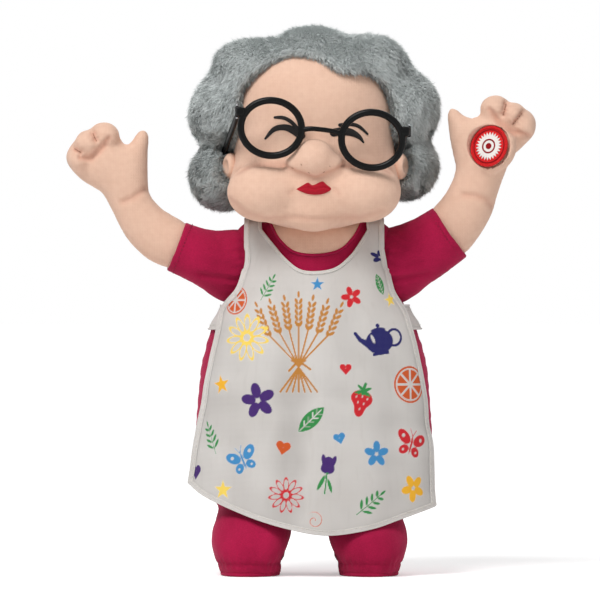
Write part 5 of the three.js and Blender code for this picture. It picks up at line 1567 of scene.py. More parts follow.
def wig_form(points):
    whole = None
    for x, y, z, *radii in WIG_LOBES:
        inner = np.array(radii) - PILE_STANDS - 0.6
        lobe = ellipsoid(points, (x, y, z), inner)
        whole = lobe if whole is None else join_soft(whole, lobe, 11)
    cap = np.maximum(head_form(points) - CAP_THICKNESS, CAP_BOTTOM - points[:, 2])
    whole = join_soft(whole, cap, 8)
    opening = np.maximum(inside_outline(points[:, [0, 2]], FACE_OPENING) - 1.4, points[:, 1] - 2)
    whole = meet_soft(whole, -opening, 5)
    for centre, radii in EARS.values():
        ahead = points - np.array(centre)
        ahead[:, 1] = np.maximum(ahead[:, 1] + 4, 0)
        whole = meet_soft(whole, -ellipsoid(ahead, (0, 0, 0), np.array(radii) + EAR_ROOM), 2.5)
    for path in TEMPLE_PATHS:
        whole = meet_soft(whole, TEMPLE_ROOM - near_line(points, path)[0], 2)
    return whole


def fur_flow(points, outward):
    """The way the pile lies: down and out from the crown, swirled a little from lobe to lobe."""
    out_x, out_y = np.clip(points[:, 0] * 0.03, -0.6, 0.6), np.clip(points[:, 1] * 0.03, -0.6, 0.6) - 0.15
    down = np.stack([out_x, out_y, np.full(len(points), -0.8)], -1)
    swirl = np.stack([ripples(points, 34, seed) for seed in (81, 82, 83)], -1)
    fine = np.stack([ripples(points, 9, seed) for seed in (84, 85, 86)], -1)
    lay = down + 0.42 * swirl + 0.42 * fine
    lay = lay - outward * (lay * outward).sum(-1, keepdims=True)
    return unit(lay)


def strands(roots, outward, long, wide):
    """Fine curved ribbons of pile, each a quad and a tip."""
    lay = fur_flow(roots, outward)
    stray = RANDOM.normal(size=roots.shape) * 0.28
    lay = unit(lay + stray)
    reach = (long * RANDOM.uniform(0.65, 1.25, len(roots)))[:, None]
    side = unit(np.cross(lay, outward) + RANDOM.normal(size=roots.shape) * 0.3) * wide / 2
    lean = RANDOM.uniform(0.35, 0.75, len(roots))[:, None]
    middle = roots + (outward * (1 - lean * 0.4) + lay * lean) * reach * 0.5
    tip = middle + (outward * (1 - lean) * 0.8 + lay * (0.5 + lean)) * reach * 0.45
    points = np.stack([roots - side, roots + side, middle + side * 0.8, middle - side * 0.8, tip], 1)
    start = np.arange(len(roots))[:, None] * 5
    quads, tips = start + np.array([[0, 1, 2, 3]]), start + np.array([[3, 2, 4]])
    along = np.tile([0.0, 0.0, 0.5, 0.5, 1.0], len(roots))
    return points.reshape(-1, 3), [quads, tips], along


def scatter(points, faces, number):
    """Random spots over a mesh, as shares of its triangles' area."""
    first, second = faces[:, [0, 1, 2]], faces[:, [0, 2, 3]]
    triangles = np.vstack([first, second])
    a, b, c = (points[triangles[:, k]] for k in range(3))
    area = length(np.cross(b - a, c - a)) / 2
    chosen = RANDOM.choice(len(triangles), number, p=area / area.sum())
    u, v = RANDOM.uniform(size=(2, number))
    over = u + v > 1
    u[over], v[over] = 1 - u[over], 1 - v[over]
    a, b, c = a[chosen], b[chosen], c[chosen]
    return a + (b - a) * u[:, None] + (c - a) * v[:, None]


def lit_from_above(points, outward):
    """How much the pile is painted paler for light from above: most on the crown, least under the lowest
    curls, which get painted shade.
    """
    return 0.8 * np.clip(outward[:, 2], 0, 1) + np.clip((points[:, 2] - 275) / 70, -0.6, 0.6)


STRANDS = 190000
STRANDS_PER_PIECE = 64000


def make_wig_base(form):
    """The wig's stuffed base, without what lies inside the head."""
    inside = head_form(form.points) < -4
    used, faces = only_used(len(form.points), form.faces[~inside[form.faces].all(1)])
    points = form.points[used]
    base = piece("wig_base", points, faces, HAIR, "fur")
    value_layer(base, "along", np.full(len(used), 0.12))
    # random tone from clump to clump, plus painted light on top and painted shade low down
    tuft_and_top_light = 0.5 + 0.3 * ripples(points, 5, 93) + lit_from_above(points, form.outward[used])
    value_layer(base, "tuft_and_top_light", tuft_and_top_light)
    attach(base, "head")
    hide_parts("wig")


def make_wig_pile(form):
    visible = (head_form(form.points) > -0.8)[form.faces].all(1)
    roots = scatter(form.points, form.faces[visible], STRANDS)
    outward = unit(slope_of(wig_form, roots))
    clear = np.ones(len(roots), bool)
    for centre, radii in EARS.values():
        clear &= ellipsoid(roots, centre, radii) > 2.0
    for path in TEMPLE_PATHS:
        clear &= near_line(roots, path)[0] > TEMPLE_ROOM - 0.6
    roots, outward = roots[clear], outward[clear]
    for index, start in enumerate(range(0, len(roots), STRANDS_PER_PIECE)):
        some = slice(start, start + STRANDS_PER_PIECE)
        points, faces, along = strands(roots[some], outward[some], PILE, 0.42)
        pile = piece(f"wig_pile_{index + 1}", points, faces, HAIR, "fur", smooth=False)
        value_layer(pile, "along", along)
        tuft_and_top_light = 0.5 + 0.45 * ripples(roots[some], 6, 93) + RANDOM.normal(size=len(roots[some])) * 0.22
        # painted light on top and painted shade low down, added to the random tone
        tuft_and_top_light = tuft_and_top_light + lit_from_above(roots[some], outward[some])
        value_layer(pile, "tuft_and_top_light", np.repeat(tuft_and_top_light, 5))
        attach(pile, "head")


def make_wig():
    form = Form(wig_form, (-86, -64, 226), (86, 72, 356), 1.7)
    form.soften(0.6, 17, 91)
    form.soften(0.4, 7, 92)
    make_wig_base(form)
    make_wig_pile(form)


# The pieces of the glasses


def rounded_block(centre, size, radius, step=0.5):
    centre, half = np.asarray(centre, float), np.asarray(size, float) / 2

    def field(points):
        apart = np.abs(points - centre) - (half - radius)
        return length(np.maximum(apart, 0)) + np.minimum(apart.max(-1), 0) - radius

    points, faces, _ = stuffed(field, centre - half - 1, centre + half + 1, step)
    return points, [faces]


def hinge_rod(start, side, heights, radius, sides):
    """An upright rod of the hinge at an arm's start, through given heights."""
    out, back = HINGE_PIN
    return swept(start + np.array([(side * out, back, z) for z in heights]), radius, sides, up=BACKWARD)


def make_rims():
    """Both rims, the bridge between them and the blocks that the hinges stand in."""
    angle = angles_round(128)
    parts = []
    for side in (-1, 1):
        ring = np.stack([
            side * RIM_SPACING / 2 + (RIM_HALF_WIDTH - RIM_TUBE) * np.cos(angle), np.zeros_like(angle),
            (RIM_HALF_HEIGHT - RIM_TUBE) * np.sin(angle)], -1)
        parts.append(swept(ring, RIM_TUBE, 16, closed=True, up=BACKWARD, flat=0.9))
    inner = RIM_SPACING / 2 - RIM_HALF_WIDTH + RIM_TUBE
    half_bridge = [(inner / 2, -0.6, 2.6), (inner, 0.2, 1)]
    arch = smooth_curve([*((-x, y, z) for x, y, z in half_bridge[::-1]), *half_bridge], 30)
    thick = 1.55 + 0.5 * np.abs(np.linspace(-1, 1, 30)) ** 3
    parts.append(swept(arch, thick, 14, up=BACKWARD))
    for side in (-1, 1):
        parts.append(rounded_block((side * (HINGE_OUT - 0.7), 0.2, HINGE_LIFT), HINGE_BLOCK, 1.5))
    points, faces = together(parts)
    front = piece("glasses_rims", tilted(points), faces, BLACK_GLOSS, "black_gloss")
    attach(front, "head")
    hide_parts("glasses_front")


def make_glasses_arm(name, side):
    path = temple_path(side)
    wide = np.interp(np.linspace(0, 1, len(path)), [0, 0.08, 0.7, 1], [1.9, 1.75, 1.6, 2.0])
    arm = swept(path, wide, 14, flat=1.7)
    points, faces = together([arm, hinge_rod(path[0], side, (-3.2, -1, 1, 3.2), 1.15, 12)])
    temple = piece(f"glasses_arm_{name}", points, faces, BLACK_GLOSS, "black_gloss")
    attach(temple, "head")
    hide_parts(f"glasses_temple_{name}")
    points, faces = together([hinge_rod(path[0], side, (z, z + 0.5), 0.75, 10) for z in (-4.2, 3.8)])
    pins = piece(f"hinge_screws_{name}", points, faces, STEEL, "steel")
    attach(pins, "head")


# The apron: one printed cloth in front, straps over the shoulders, and tabs round to a closure at the back

APRON_SECTIONS = [[22, 80, -62.6, 50], [40, 79.5, -61.8, 52], [58, 78.5, -59.4, 52], [76, 77.5, -57, 51.5],
                  *TRUNK_SECTIONS[3:]]
APRON_STANDS = 2.6
APRON_CELL = 0.6
APRON_OUTLINE = [
    (-43.6, 207), (-44.6, 197), (-49.5, 183), (-58.6, 171.5), (-61, 162), (-63.4, 152), (-67, 136),
    (-71.2, 112), (-75, 86), (-78.4, 61), (-78.2, 59), (-76.8, 57.6), (-66.8, 50), (-41, 38.4),
    (-15.6, 30.7), (8.8, 27), (35.6, 30.7), (54.8, 37), (73.4, 43.6), (75.2, 45), (75.6, 47), (75, 76),
    (73, 98), (69, 126), (64.6, 146), (60.6, 160), (57.4, 170), (50, 183), (46.8, 196), (44.8, 207),
]
NECK_SCOOP = [(34.6, 221), (29, 212), (23.4, 204.4), (14, 196.6), (2.4, 194), (-9.2, 195.2), (-18.8, 202.6),
              (-26, 211), (-34, 221)]
STRAP = (34.2, 44.2)
STRAP_ENDS = 209.0  # the height in front where a strap goes over into the bib
SHELF = 196.0  # the height where the bib's cloth starts to turn back over the shoulders
OVER_CENTRE = (4.0, SHELF)
TAB_HEIGHTS = (157.5, 172.5)
FOLDS_START = 118.0  # below this height the folds grow toward the hem
LOWEST_HEM = 27

apron_support = with_shoulders(upright(APRON_SECTIONS))
CLOTH_LIFT = 0.3
BACK_TABS = {"left": (1, -7.5, 2.4), "right": (-1, 7.5, 1.4)}  # side, end's x, and how far off the body
TAB_TUCK = 3.5  # how far a tab goes in under the apron's side
TAB_LIFT = 2.0  # how far off the body the two tabs lie on average, near enough
TAPE_STANDS = 3.4
OVER_ROLL = 45  # about how far from the shelf's centre the shoulders' top is
OVER_END = 96  # how many degrees up and over the shoulders the bib's cloth goes


def raised_support(rise):
    """The field of the form that the apron hangs on, a little larger all round."""
    return lambda points: apron_support(points) - rise


lifted_support = raised_support(APRON_STANDS + CLOTH_LIFT)


def off_support(points):
    """The directions straight out of the form that the apron hangs on."""
    return unit(slope_of(apron_support, points))


class Ring:
    """Level rings round the doll that cloth hangs on, each measured from the middle of the front."""

    def __init__(self):
        self.rows = smooth_curve(APRON_SECTIONS, 200)
        self.angles = np.linspace(-np.pi, np.pi, 1441)

    def profile(self, z):
        half, front, back = (np.interp(z, self.rows[:, 0], self.rows[:, k]) for k in (1, 2, 3))
        half, front, back = half + APRON_STANDS, front - APRON_STANDS, back + APRON_STANDS
        s, c = np.sin(self.angles), np.cos(self.angles)
        x = half * signed_power(s, 2 / SQUARENESS)
        y = (front + back) / 2 - (back - front) / 2 * signed_power(c, 2 / SQUARENESS)
        run = np.concatenate([[0], np.cumsum(np.hypot(np.diff(x), np.diff(y)))])
        return x, y, run - run[len(run) // 2]

    def places(self, along, z):
        """Points at distances along the ring of one height."""
        x, y, run = self.profile(z)
        return read_along(along, run, np.stack([x, y, np.full_like(x, z)], -1))

    def along(self, x_wanted, z):
        """The distance along the front of a ring at which it reaches an x."""
        x, _, run = self.profile(z)
        front = np.abs(self.angles) <= np.pi / 2
        return np.interp(x_wanted, x[front], run[front])


ring = Ring()


def unrolled(outline, pitch=1.2):
    """An outline given as seen from the front, as it lies flat: distance along the ring, and height."""
    line = even_path(outline, pitch)
    return np.array([(float(ring.along(x, z)), z) for x, z in line])


def hang(flat):
    """Where flat points of the bib's cloth hang, with soft folds that grow toward the hem, and the painted
    shade in those folds.
    """
    flat = np.asarray(flat, float)
    points = np.empty((len(flat), 3))
    levels = np.round(flat[:, 1], 1)
    for z in np.unique(levels):
        some = levels == z
        points[some] = ring.places(flat[some, 0], z)
    points[:, 2] = flat[:, 1]
    for _ in range(2):
        level = unit(slope_of(apron_support, points) * np.array([1, 1, 0]))
        points = points - level * lifted_support(points)[:, None]
    slope = unit(slope_of(apron_support, points) * np.array([1, 1, 0.3]))
    along, z = flat.T
    share = np.clip((FOLDS_START - z) / (FOLDS_START - LOWEST_HEM), 0, 1) ** 1.4
    waves = np.sin(along / 13.5 + 0.9) + np.sin(along / 7.6 - z / 60 + 2.1) * 0.55
    upright_folds = ripples(np.stack([along, along * 0, z * 0.22], -1), 28, 101)
    level_folds = ripples(np.stack([along * 0.4, along * 0, z], -1), 26, 103)
    fades = np.clip((SHELF - z) / 24, 0, 1)
    folds = (upright_folds * 1.1 + level_folds * 0.6) * fades
    hang_out = share * (waves + 1.1) + folds
    # the second value is painted shade, most where the folds sink in
    return points + slope * hang_out[:, None], np.clip(0.5 - (folds + share * waves) / 3, 0, 1)


# The print: separate signed distances in a motif's own plane, where its half size is 1


def turned_back(p, degrees):
    a = math.radians(degrees)
    return p @ np.array([[math.cos(a), -math.sin(a)], [math.sin(a), math.cos(a)]])


def dot(p, at=(0, 0), r=0.2):
    return length(p - np.asarray(at, float)) - r


def oval(p, at, rx, ry, degrees=0):
    q = turned_back(p - np.asarray(at, float), degrees)
    return (length(q / (rx, ry)) - 1) * min(rx, ry)


def dash(p, a, b, r, r_end=None):
    a, b = np.asarray(a, float), np.asarray(b, float)
    t = np.clip((p - a) @ (b - a) / ((b - a) ** 2).sum(), 0, 1)
    return length(p - (a + t[:, None] * (b - a))) - (r + t * ((r if r_end is None else r_end) - r))


def any_of(*shapes):
    return np.minimum.reduce(shapes)


def around(p, count, start=0.0):
    """Folds a plane round its middle, so one petal serves for all of them."""
    angle = np.arctan2(p[:, 1], p[:, 0]) - math.radians(start)
    step = 2 * np.pi / count
    angle = (angle + step / 2) % step - step / 2
    far = length(p)
    return np.stack([far * np.cos(angle), far * np.sin(angle)], -1)


def outlined(shape, thick):
    return np.abs(shape) - thick


def blossom(p):
    q = around(p, 5, 90)
    return np.maximum(oval(q, (0.56, 0), 0.44, 0.29), -dot(p, (0, 0), 0.13))


def daisy(p):
    q = around(p, 11, 90)
    return any_of(outlined(oval(q, (0.62, 0), 0.36, 0.14), 0.028), outlined(dot(p, (0, 0), 0.2), 0.035))


def wheat_sheaf(p):
    shapes = []
    for k in range(-3, 4):
        lean = k * 0.17
        top = (lean * 1.25, 0.42 - abs(k) * 0.07)
        shapes.append(dash(p, (-lean * 0.75, -0.98), (lean * 0.2, -0.34), 0.022))
        shapes.append(dash(p, (lean * 0.2, -0.34), top, 0.02))
        for row in range(5):
            up = row * 0.115
            for way in (-1, 1):
                at = (top[0] + lean * up * 0.8 + way * 0.045, top[1] + up)
                shapes.append(oval(p, at, 0.07, 0.034, 90 - lean * 60 - way * 26))
        shapes.append(oval(p, (top[0] + lean * 0.5, top[1] + 0.6), 0.07, 0.03, 90 - lean * 60))
    shapes.append(oval(p, (0, -0.34), 0.16, 0.055))
    shapes.append(dash(p, (0.02, -0.36), (0.24, -0.52), 0.026))
    shapes.append(dash(p, (-0.02, -0.36), (-0.2, -0.55), 0.026))
    return any_of(*shapes)


def teapot(p):
    body = oval(p, (0, -0.15), 0.56, 0.46)
    foot = np.maximum(np.abs(p[:, 0]) - 0.34, np.abs(p[:, 1] + 0.6) - 0.06)
    lid = any_of(oval(p, (0, 0.28), 0.3, 0.1), dot(p, (0, 0.45), 0.085))
    spout = any_of(dash(p, (-0.45, -0.22), (-0.75, 0.02), 0.13, 0.09),
                   dash(p, (-0.75, 0.02), (-0.9, 0.28), 0.09, 0.07))
    handle = np.maximum(outlined(oval(p, (0.62, -0.08), 0.3, 0.3), 0.055), 0.36 - p[:, 0])
    shine = oval(p, (-0.26, -0.02), 0.05, 0.17, 18)
    return np.maximum(any_of(body, foot, lid, spout, handle), -shine)


def leaf_spray(p):
    shapes = [dash(p, (0, -1), (0, 0.75), 0.028, 0.02)]
    for k in range(4):
        long = 0.27 - k * 0.03
        for way in (-1, 1):
            shapes.append(oval(p, (way * (long - 0.01), -0.45 + k * 0.34), long, 0.085, way * 42))
    shapes.append(oval(p, (0, 0.86), 0.2, 0.07, 90))
    return any_of(*shapes)


def long_leaf(p):
    blade = np.maximum(dot(p, (0.9, 0), 1.28), dot(p, (-0.9, 0), 1.28))
    veins = [dash(p, (0, -0.8), (0, 0.7), 0.025)]
    for k in range(4):
        for way in (-1, 1):
            veins.append(dash(p, (0, -0.5 + 0.3 * k), (way * 0.2, -0.3 + 0.3 * k), 0.018))
    return np.maximum(blade, -any_of(*veins))


def butterfly(p):
    q = np.stack([np.abs(p[:, 0]), p[:, 1]], -1)
    wings = any_of(oval(q, (0.5, 0.3), 0.46, 0.3, 38), oval(q, (0.36, -0.36), 0.3, 0.24, -40))
    body = oval(p, (0, 0), 0.065, 0.5)
    feeler = dash(q, (0.03, 0.45), (0.2, 0.8), 0.025)
    holes = any_of(dot(q, (0.56, 0.34), 0.09), dot(q, (0.4, -0.38), 0.06))
    return any_of(np.maximum(wings, -holes), body, feeler)


def strawberry(p):
    fruit = join_soft(oval(p, (0, 0.1), 0.55, 0.42), oval(p, (0, -0.42), 0.26, 0.4), 0.25)
    seeds = any_of(*[oval(p, at, 0.03, 0.06) for at in
                     ((-0.28, 0.14), (0, 0.2), (0.28, 0.14), (-0.15, -0.12), (0.15, -0.12), (0, -0.42))])
    return np.maximum(fruit, -seeds)


def strawberry_leaf(p):
    q = around(p - (0, 0.5), 6, 30)
    leaves = any_of(oval(q, (0.2, 0), 0.22, 0.08), dash(p, (0, 0.5), (0.06, 0.86), 0.035))
    return np.maximum(leaves, 0.3 - p[:, 1])


def fruit_slice(p):
    q = around(p, 8, 22)
    far = length(p)
    flesh = np.maximum(far - 0.8, 0.1 - far)
    flesh = np.maximum(flesh, 0.05 - (q[:, 0] * 0.383 - np.abs(q[:, 1]) * 0.92))
    return any_of(outlined(far - 0.93, 0.06), flesh)


def tulip(p):
    bud = join_soft(oval(p, (0, 0.42), 0.3, 0.4), oval(p, (0, 0.2), 0.34, 0.24), 0.1)
    tips = any_of(oval(p, (-0.24, 0.6), 0.12, 0.3, 14), oval(p, (0.24, 0.6), 0.12, 0.3, -14))
    return any_of(bud, tips)


def tulip_stem(p):
    leaves = oval(p, (-0.22, -0.5), 0.1, 0.4, -20), oval(p, (0.22, -0.6), 0.09, 0.34, 22)
    return any_of(dash(p, (0, -0.02), (0.02, -1), 0.04), *leaves)


def star(p):
    q = around(p, 5, 90)
    return q[:, 0] * 0.33 + np.abs(q[:, 1]) * 0.94 - 0.33


def heart(p):
    q = np.stack([np.abs(p[:, 0]), p[:, 1]], -1)
    return any_of(dot(q, (0.42, 0.3), 0.46), np.maximum(q @ (0.74, -0.67) - 0.57, q[:, 1] - 0.05))


def swirl(p):
    angle = np.arctan2(p[:, 1], p[:, 0])
    far = length(p)
    arms = [np.abs(far - (angle + 2 * np.pi * k) / 9.5 - 0.1) - 0.05 for k in range(0, 3)]
    return np.maximum(any_of(*arms), far - 0.95)


OCHRE, ORANGE, SUN = colour(190, 126, 50), colour(206, 84, 26), colour(246, 182, 38)
PURPLE, GREEN, NAVY = colour(62, 22, 108), colour(40, 138, 66), colour(14, 14, 96)
RED, SKY, PALE = colour(204, 14, 32), colour(58, 138, 194), colour(248, 214, 92)
# Each motif's shape, its x and height on the flat cloth, half its size, its turn in degrees and its ink
PRINT = [
    (wheat_sheaf, -10, 148, 31, 0, OCHRE), (teapot, 42, 152, 17, 8, NAVY), (daisy, -44, 152, 14.5, 0, PALE),
    (strawberry, 30, 112, 13, -14, RED), (strawberry_leaf, 30, 112, 13, -14, GREEN),
    (blossom, -36, 112, 11.5, 12, PURPLE), (fruit_slice, 64, 122, 12, 0, ORANGE),
    (star, -62, 122, 6.5, 10, SUN), (long_leaf, -2, 100, 12.5, -46, GREEN),
    (butterfly, 64, 84, 12, -16, RED), (butterfly, -46, 74, 11.5, 24, SKY),
    (tulip, 8, 66, 13, -8, PURPLE), (tulip_stem, 8, 66, 13, -8, GREEN), (leaf_spray, -70, 88, 11, 24, GREEN),
    (blossom, 40, 78, 8.5, 0, SKY), (daisy, -18, 52, 11, 0, RED), (swirl, 84, 104, 8, 0, SUN),
    (leaf_spray, 36, 47, 12, -52, GREEN), (blossom, 66, 56, 9, 30, SUN), (heart, -20, 82, 5.5, -12, ORANGE),
    (star, -60, 55, 6.5, 0, PALE), (heart, 16, 88, 4.5, 14, SKY), (swirl, -84, 112, 7, 0, NAVY),
    (blossom, 24, 178, 7, 20, RED), (leaf_spray, -30, 184, 9.5, -30, GREEN),
    (fruit_slice, -54, 176, 9.5, 0, ORANGE),
    (star, 2, 186, 4.8, 0, SKY), (long_leaf, 44, 186, 8, 20, GREEN), (heart, -84, 66, 6, 0, PURPLE),
    (butterfly, 92, 68, 9, 20, NAVY), (strawberry, -90, 92, 8, 12, RED), (swirl, 0, 36, 6, 0, ORANGE),
    (tulip, -44, 206, 9, 10, RED), (blossom, 42, 208, 6.5, 0, NAVY), (star, 52, 176, 5, 12, PALE),
    (leaf_spray, 90, 132, 8, 10, GREEN), (tulip, -88, 138, 9, 0, ORANGE), (heart, 20, 132, 4.5, 0, RED),
]
INK_EDGE = 0.35  # how soft the print's edges are
MOTIF_REACH = 1.35  # the farthest that a motif goes from its middle, in half sizes


def printed_on(flat):
    """The ink's colour and cover at flat points of the cloth."""
    ink, cover = np.ones((len(flat), 4)), np.zeros(len(flat))
    for motif, x, z, size, turn, tint in PRINT:
        near = np.abs(flat - (x, z)).max(-1) < size * MOTIF_REACH
        if not near.any():
            continue
        local = turned_back(flat[near] - (x, z), turn) / size
        share = np.clip(0.5 - motif(local) * size / INK_EDGE, 0, 1)
        spots = np.flatnonzero(near)[share > 0]
        ink[spots] = tint
        cover[spots] = np.maximum(cover[spots], share[share > 0])
    return ink, cover


def over_shoulder(x, angle):
    """The cloth's points at a distance x from the middle and an angle up and over from the bib's shelf."""
    start = np.stack([x, np.full_like(x, OVER_CENTRE[0]), np.full_like(x, OVER_CENTRE[1])], -1)
    ahead = np.stack([np.zeros_like(x), -np.cos(angle), np.sin(angle)], -1)
    return ray_to(raised_support(APRON_STANDS), start + ahead * 70, -ahead, 70.0)


def bib_outline():
    return np.vstack([smooth_curve(APRON_OUTLINE, 220), smooth_curve(NECK_SCOOP, 80)])


def kept_grid(rows, columns, keep):
    """The four-sided faces of a grid whose four corners are all kept, and the points that they use."""
    quads = grid_quads(rows, columns)
    return only_used(rows * columns, quads[keep[quads].all(1)])


def lower_bib(outline):
    """The bib up to the shelf: its flat points, where they hang, their painted shade in folds, faces and
    top.
    """
    flat_edge = unrolled([*outline, outline[0]], 1.0)
    low, high = flat_edge.min(0), flat_edge.max(0)
    along = np.arange(low[0] - 1, high[0] + 1, APRON_CELL)
    heights = np.round(np.arange(low[1] - 0.6, SHELF + 0.3, APRON_CELL), 2)
    zz, ss = np.meshgrid(heights, along, indexing="ij")
    flat = np.stack([ss, zz], -1).reshape(-1, 2)
    keep = inside_outline(flat, flat_edge) < 0
    used, faces = kept_grid(len(heights), len(along), keep)
    points, fold_shade = hang(flat[used])
    return flat[used], points, fold_shade, faces, heights[-1]


def upper_bib(outline, bottom):
    """The bib's cloth from a height up and over the shoulders: flat points, where they lie, and faces."""
    first_angle = math.degrees(math.asin((bottom - SHELF) / OVER_ROLL)) - 0.8
    angles = np.radians(np.arange(first_angle, OVER_END, 0.75))
    xs = np.arange(-46, 46.3, APRON_CELL)
    aa, xx = np.meshgrid(angles, xs, indexing="ij")
    points = over_shoulder(xx.ravel(), aa.ravel())
    keep = inside_outline(points[:, [0, 2]], outline) < 0
    off_strap = np.abs(np.abs(points[:, 0]) - sum(STRAP) / 2)
    keep |= (points[:, 2] > STRAP_ENDS - 3) & (off_strap < (STRAP[1] - STRAP[0]) / 2)
    run = run_along(points.reshape(*xx.shape, 3)[:, len(xs) // 2])
    flat = np.stack([xx, SHELF + np.broadcast_to(run[:, None], xx.shape)], -1).reshape(-1, 2)
    used, faces = kept_grid(*xx.shape, keep)
    points = points[used]
    return flat[used], points + off_support(points) * CLOTH_LIFT, faces


def make_bib():
    outline = bib_outline()
    flat, points, fold_shade, faces, top = lower_bib(outline)
    flat_above, points_above, faces_above = upper_bib(outline, top)
    faces = np.vstack([faces, faces_above + len(flat)])
    cloth = piece("apron_cloth", np.vstack([points, points_above]), faces, APRON_CLOTH, "apron")
    whole_flat = np.vstack([flat, flat_above])
    ink, cover = printed_on(whole_flat)
    colour_layer(cloth, "print", ink)
    value_layer(cloth, "cover", cover)
    # painted shade for the cotton: from the folds below the shelf, an even share over the shoulders
    value_layer(cloth, "crease_shade", np.concatenate([fold_shade, np.full(len(flat_above), 0.5)]))
    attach(cloth, "trunk")
    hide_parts("apron")
    return cloth, whole_flat


def on_cloth(line):
    """Points of the bib's front, given as they are seen from the front, where they hang."""
    line = np.asarray(line, float)
    low = line[:, 1] <= SHELF
    made = np.empty((len(line), 3))
    if low.any():
        made[low] = hang([(float(ring.along(x, z)), z) for x, z in line[low]])[0]
    if (~low).any():
        made[~low] = front_of(lifted_support, line[~low, 0], line[~low, 1])
    return made


def strap_line(x, front_height, pitch=0.7):
    """A line along a shoulder strap from the tab at the back, over the shoulder, to a height in front."""
    heights = np.arange(TAB_HEIGHTS[1] - 3, SHELF - 0.5, pitch)
    back = back_of(lifted_support, np.full_like(heights, x), heights)
    angles = np.radians(np.arange(180, 0, -1.6))
    over = over_shoulder(np.full_like(angles, x), angles)
    over = over + off_support(over) * CLOTH_LIFT
    over = over[(angles > np.pi / 2) | (over[:, 2] > front_height)]
    return even_path(np.vstack([back, over]), pitch)


def moved_in(line, inset):
    """A line on the front moved in from the cloth's edge, without the places that sharp corners fold."""
    ahead = unit(np.gradient(line, axis=0))
    moved = line + np.stack([-ahead[:, 1], ahead[:, 0]], -1) * inset
    away = np.abs(inside_outline(moved, line))
    return moved[(away > inset - 0.3) | (np.abs(moved[:, 1] - line[0, 1]) < 3)]


def edge_line(outline, strap_x, inset=0.0):
    """An edge of the apron: up the back of one strap, along the bib's outline and down the other strap."""
    line = even_path(smooth_curve(outline, 220), 1.0)
    side = -1 if outline[0][0] < 0 else 1
    inner = strap_x - inset if strap_x == STRAP[1] else strap_x + inset
    front = on_cloth(moved_in(line, inset) if inset else line)
    first = strap_line(side * inner, outline[0][1] + 1.5)
    last = strap_line(-side * inner, outline[-1][1] + 1.5)
    return even_path(np.vstack([first, front, last[::-1]]), 1.0)


HEM_WIDTH = {"outer": 3.0, "neck": 1.8}
HEM_ROLL = 0.7
APRON_STITCH = (2.0, 0.9, 0.2)  # its length, the gap after it and its thread's radius
TAPE_STITCH = (1.8, 0.8, 0.2)


def make_hems():
    """Hems turned over along the cloth's edges: a rolled edge, a folded band and its line of stitching."""
    hems = []
    for name, outline, strap_x in (("outer", APRON_OUTLINE, STRAP[1]), ("neck", NECK_SCOOP, STRAP[0])):
        edge = edge_line(outline, strap_x)
        roll = piece(f"apron_hem_{name}", *swept(edge, HEM_ROLL, 8, flat=0.8), PLAIN_CLOTH, "apron")
        lines = []
        for share in (0, 0.25, 0.5, 0.75, 1):
            line = resampled(edge_line(outline, strap_x, HEM_WIDTH[name] * share), len(edge))
            lift = 0.3 + 0.25 * math.sin(math.pi * share)
            lines.append(line + off_support(line) * lift)
        band = ribbon(f"apron_band_{name}", lines, PLAIN_CLOTH)
        inner = even_path(lines[3] + 0.1 * off_support(lines[3]), 0.9)
        threads = stitches(inner, off_support(inner), *APRON_STITCH)
        sewn = piece(f"apron_stitches_{name}", *threads, WHITE_THREAD, "apron")
        for made in (roll, band, sewn):
            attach(made, "trunk")
        hems += [roll, band, sewn]
    return hems


def ribbon(name, lines, finish=APRON_CLOTH):
    """A strip of cloth whose lengthwise lines all have as many points."""
    rows = np.stack(lines)
    return piece(name, rows.reshape(-1, 3), grid_quads(*rows.shape[:2]), finish, "apron")


def make_straps():
    straps = []
    for name, side in (("left", 1), ("right", -1)):
        xs = np.linspace(STRAP[0], STRAP[1], 12)
        lines = [resampled(strap_line(side * x, STRAP_ENDS), 120) for x in xs]
        strap = ribbon(f"apron_strap_cloth_{name}", lines)
        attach(strap, "trunk")
        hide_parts(f"apron_strap_{name}")
        straps.append(strap)
    return straps


HEM_LIP = 0.6  # the radius of the rolled edge of a tab


def tab_line(side, height, to_x, lift):
    """A level line round the back, from under the apron's side to an x near the middle of the back."""
    from_x = np.interp(height, [152, 171], [65.4, 59]) - TAB_TUCK
    x, _, run = ring.profile(height)
    behind = np.abs(ring.angles) > np.pi / 2
    front = ~behind
    keep = np.sign(ring.angles) == side
    start = np.interp(from_x, (side * x[front & keep])[::side], (side * run[front & keep])[::side])
    order = np.argsort(side * x[behind & keep])
    end = np.interp(side * to_x, (side * x[behind & keep])[order], (side * run[behind & keep])[order])
    points = ring.places(side * np.linspace(start, end, 90), height)
    outward = unit(slope_of(apron_support, points) * np.array([1, 1, 0.2]))
    waves = 0.35 * ripples(points, 22, 111)
    return points + outward * (lift + waves - apron_support(points))[:, None]


def make_tabs():
    tabs, hems = [], []
    low, high = TAB_HEIGHTS
    for name, (side, to_x, lift) in BACK_TABS.items():
        heights = np.linspace(low, high, 14)
        lines = [tab_line(side, z, to_x, lift) for z in heights]
        tab = ribbon(f"apron_tab_cloth_{name}", lines)
        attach(tab, "trunk")
        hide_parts(f"apron_tab_{name}")
        tabs.append(tab)
        end = np.stack([line[-1] for line in lines])
        parts = [swept(line, HEM_LIP, 8) for line in (lines[0], lines[-1], end)]
        rolled = piece(f"apron_tab_hem_{name}", *together(parts), PLAIN_CLOTH, "apron")
        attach(rolled, "trunk")
        hems.append(rolled)
        inner = [(line, off_support(line)) for line in (lines[2], lines[-3])]
        rows = [stitches(line + out * 0.1, out, *APRON_STITCH) for line, out in inner]
        sewn = piece(f"apron_tab_stitches_{name}", *together(rows), WHITE_THREAD, "apron")
        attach(sewn, "trunk")
        hems.append(sewn)
    return tabs, hems


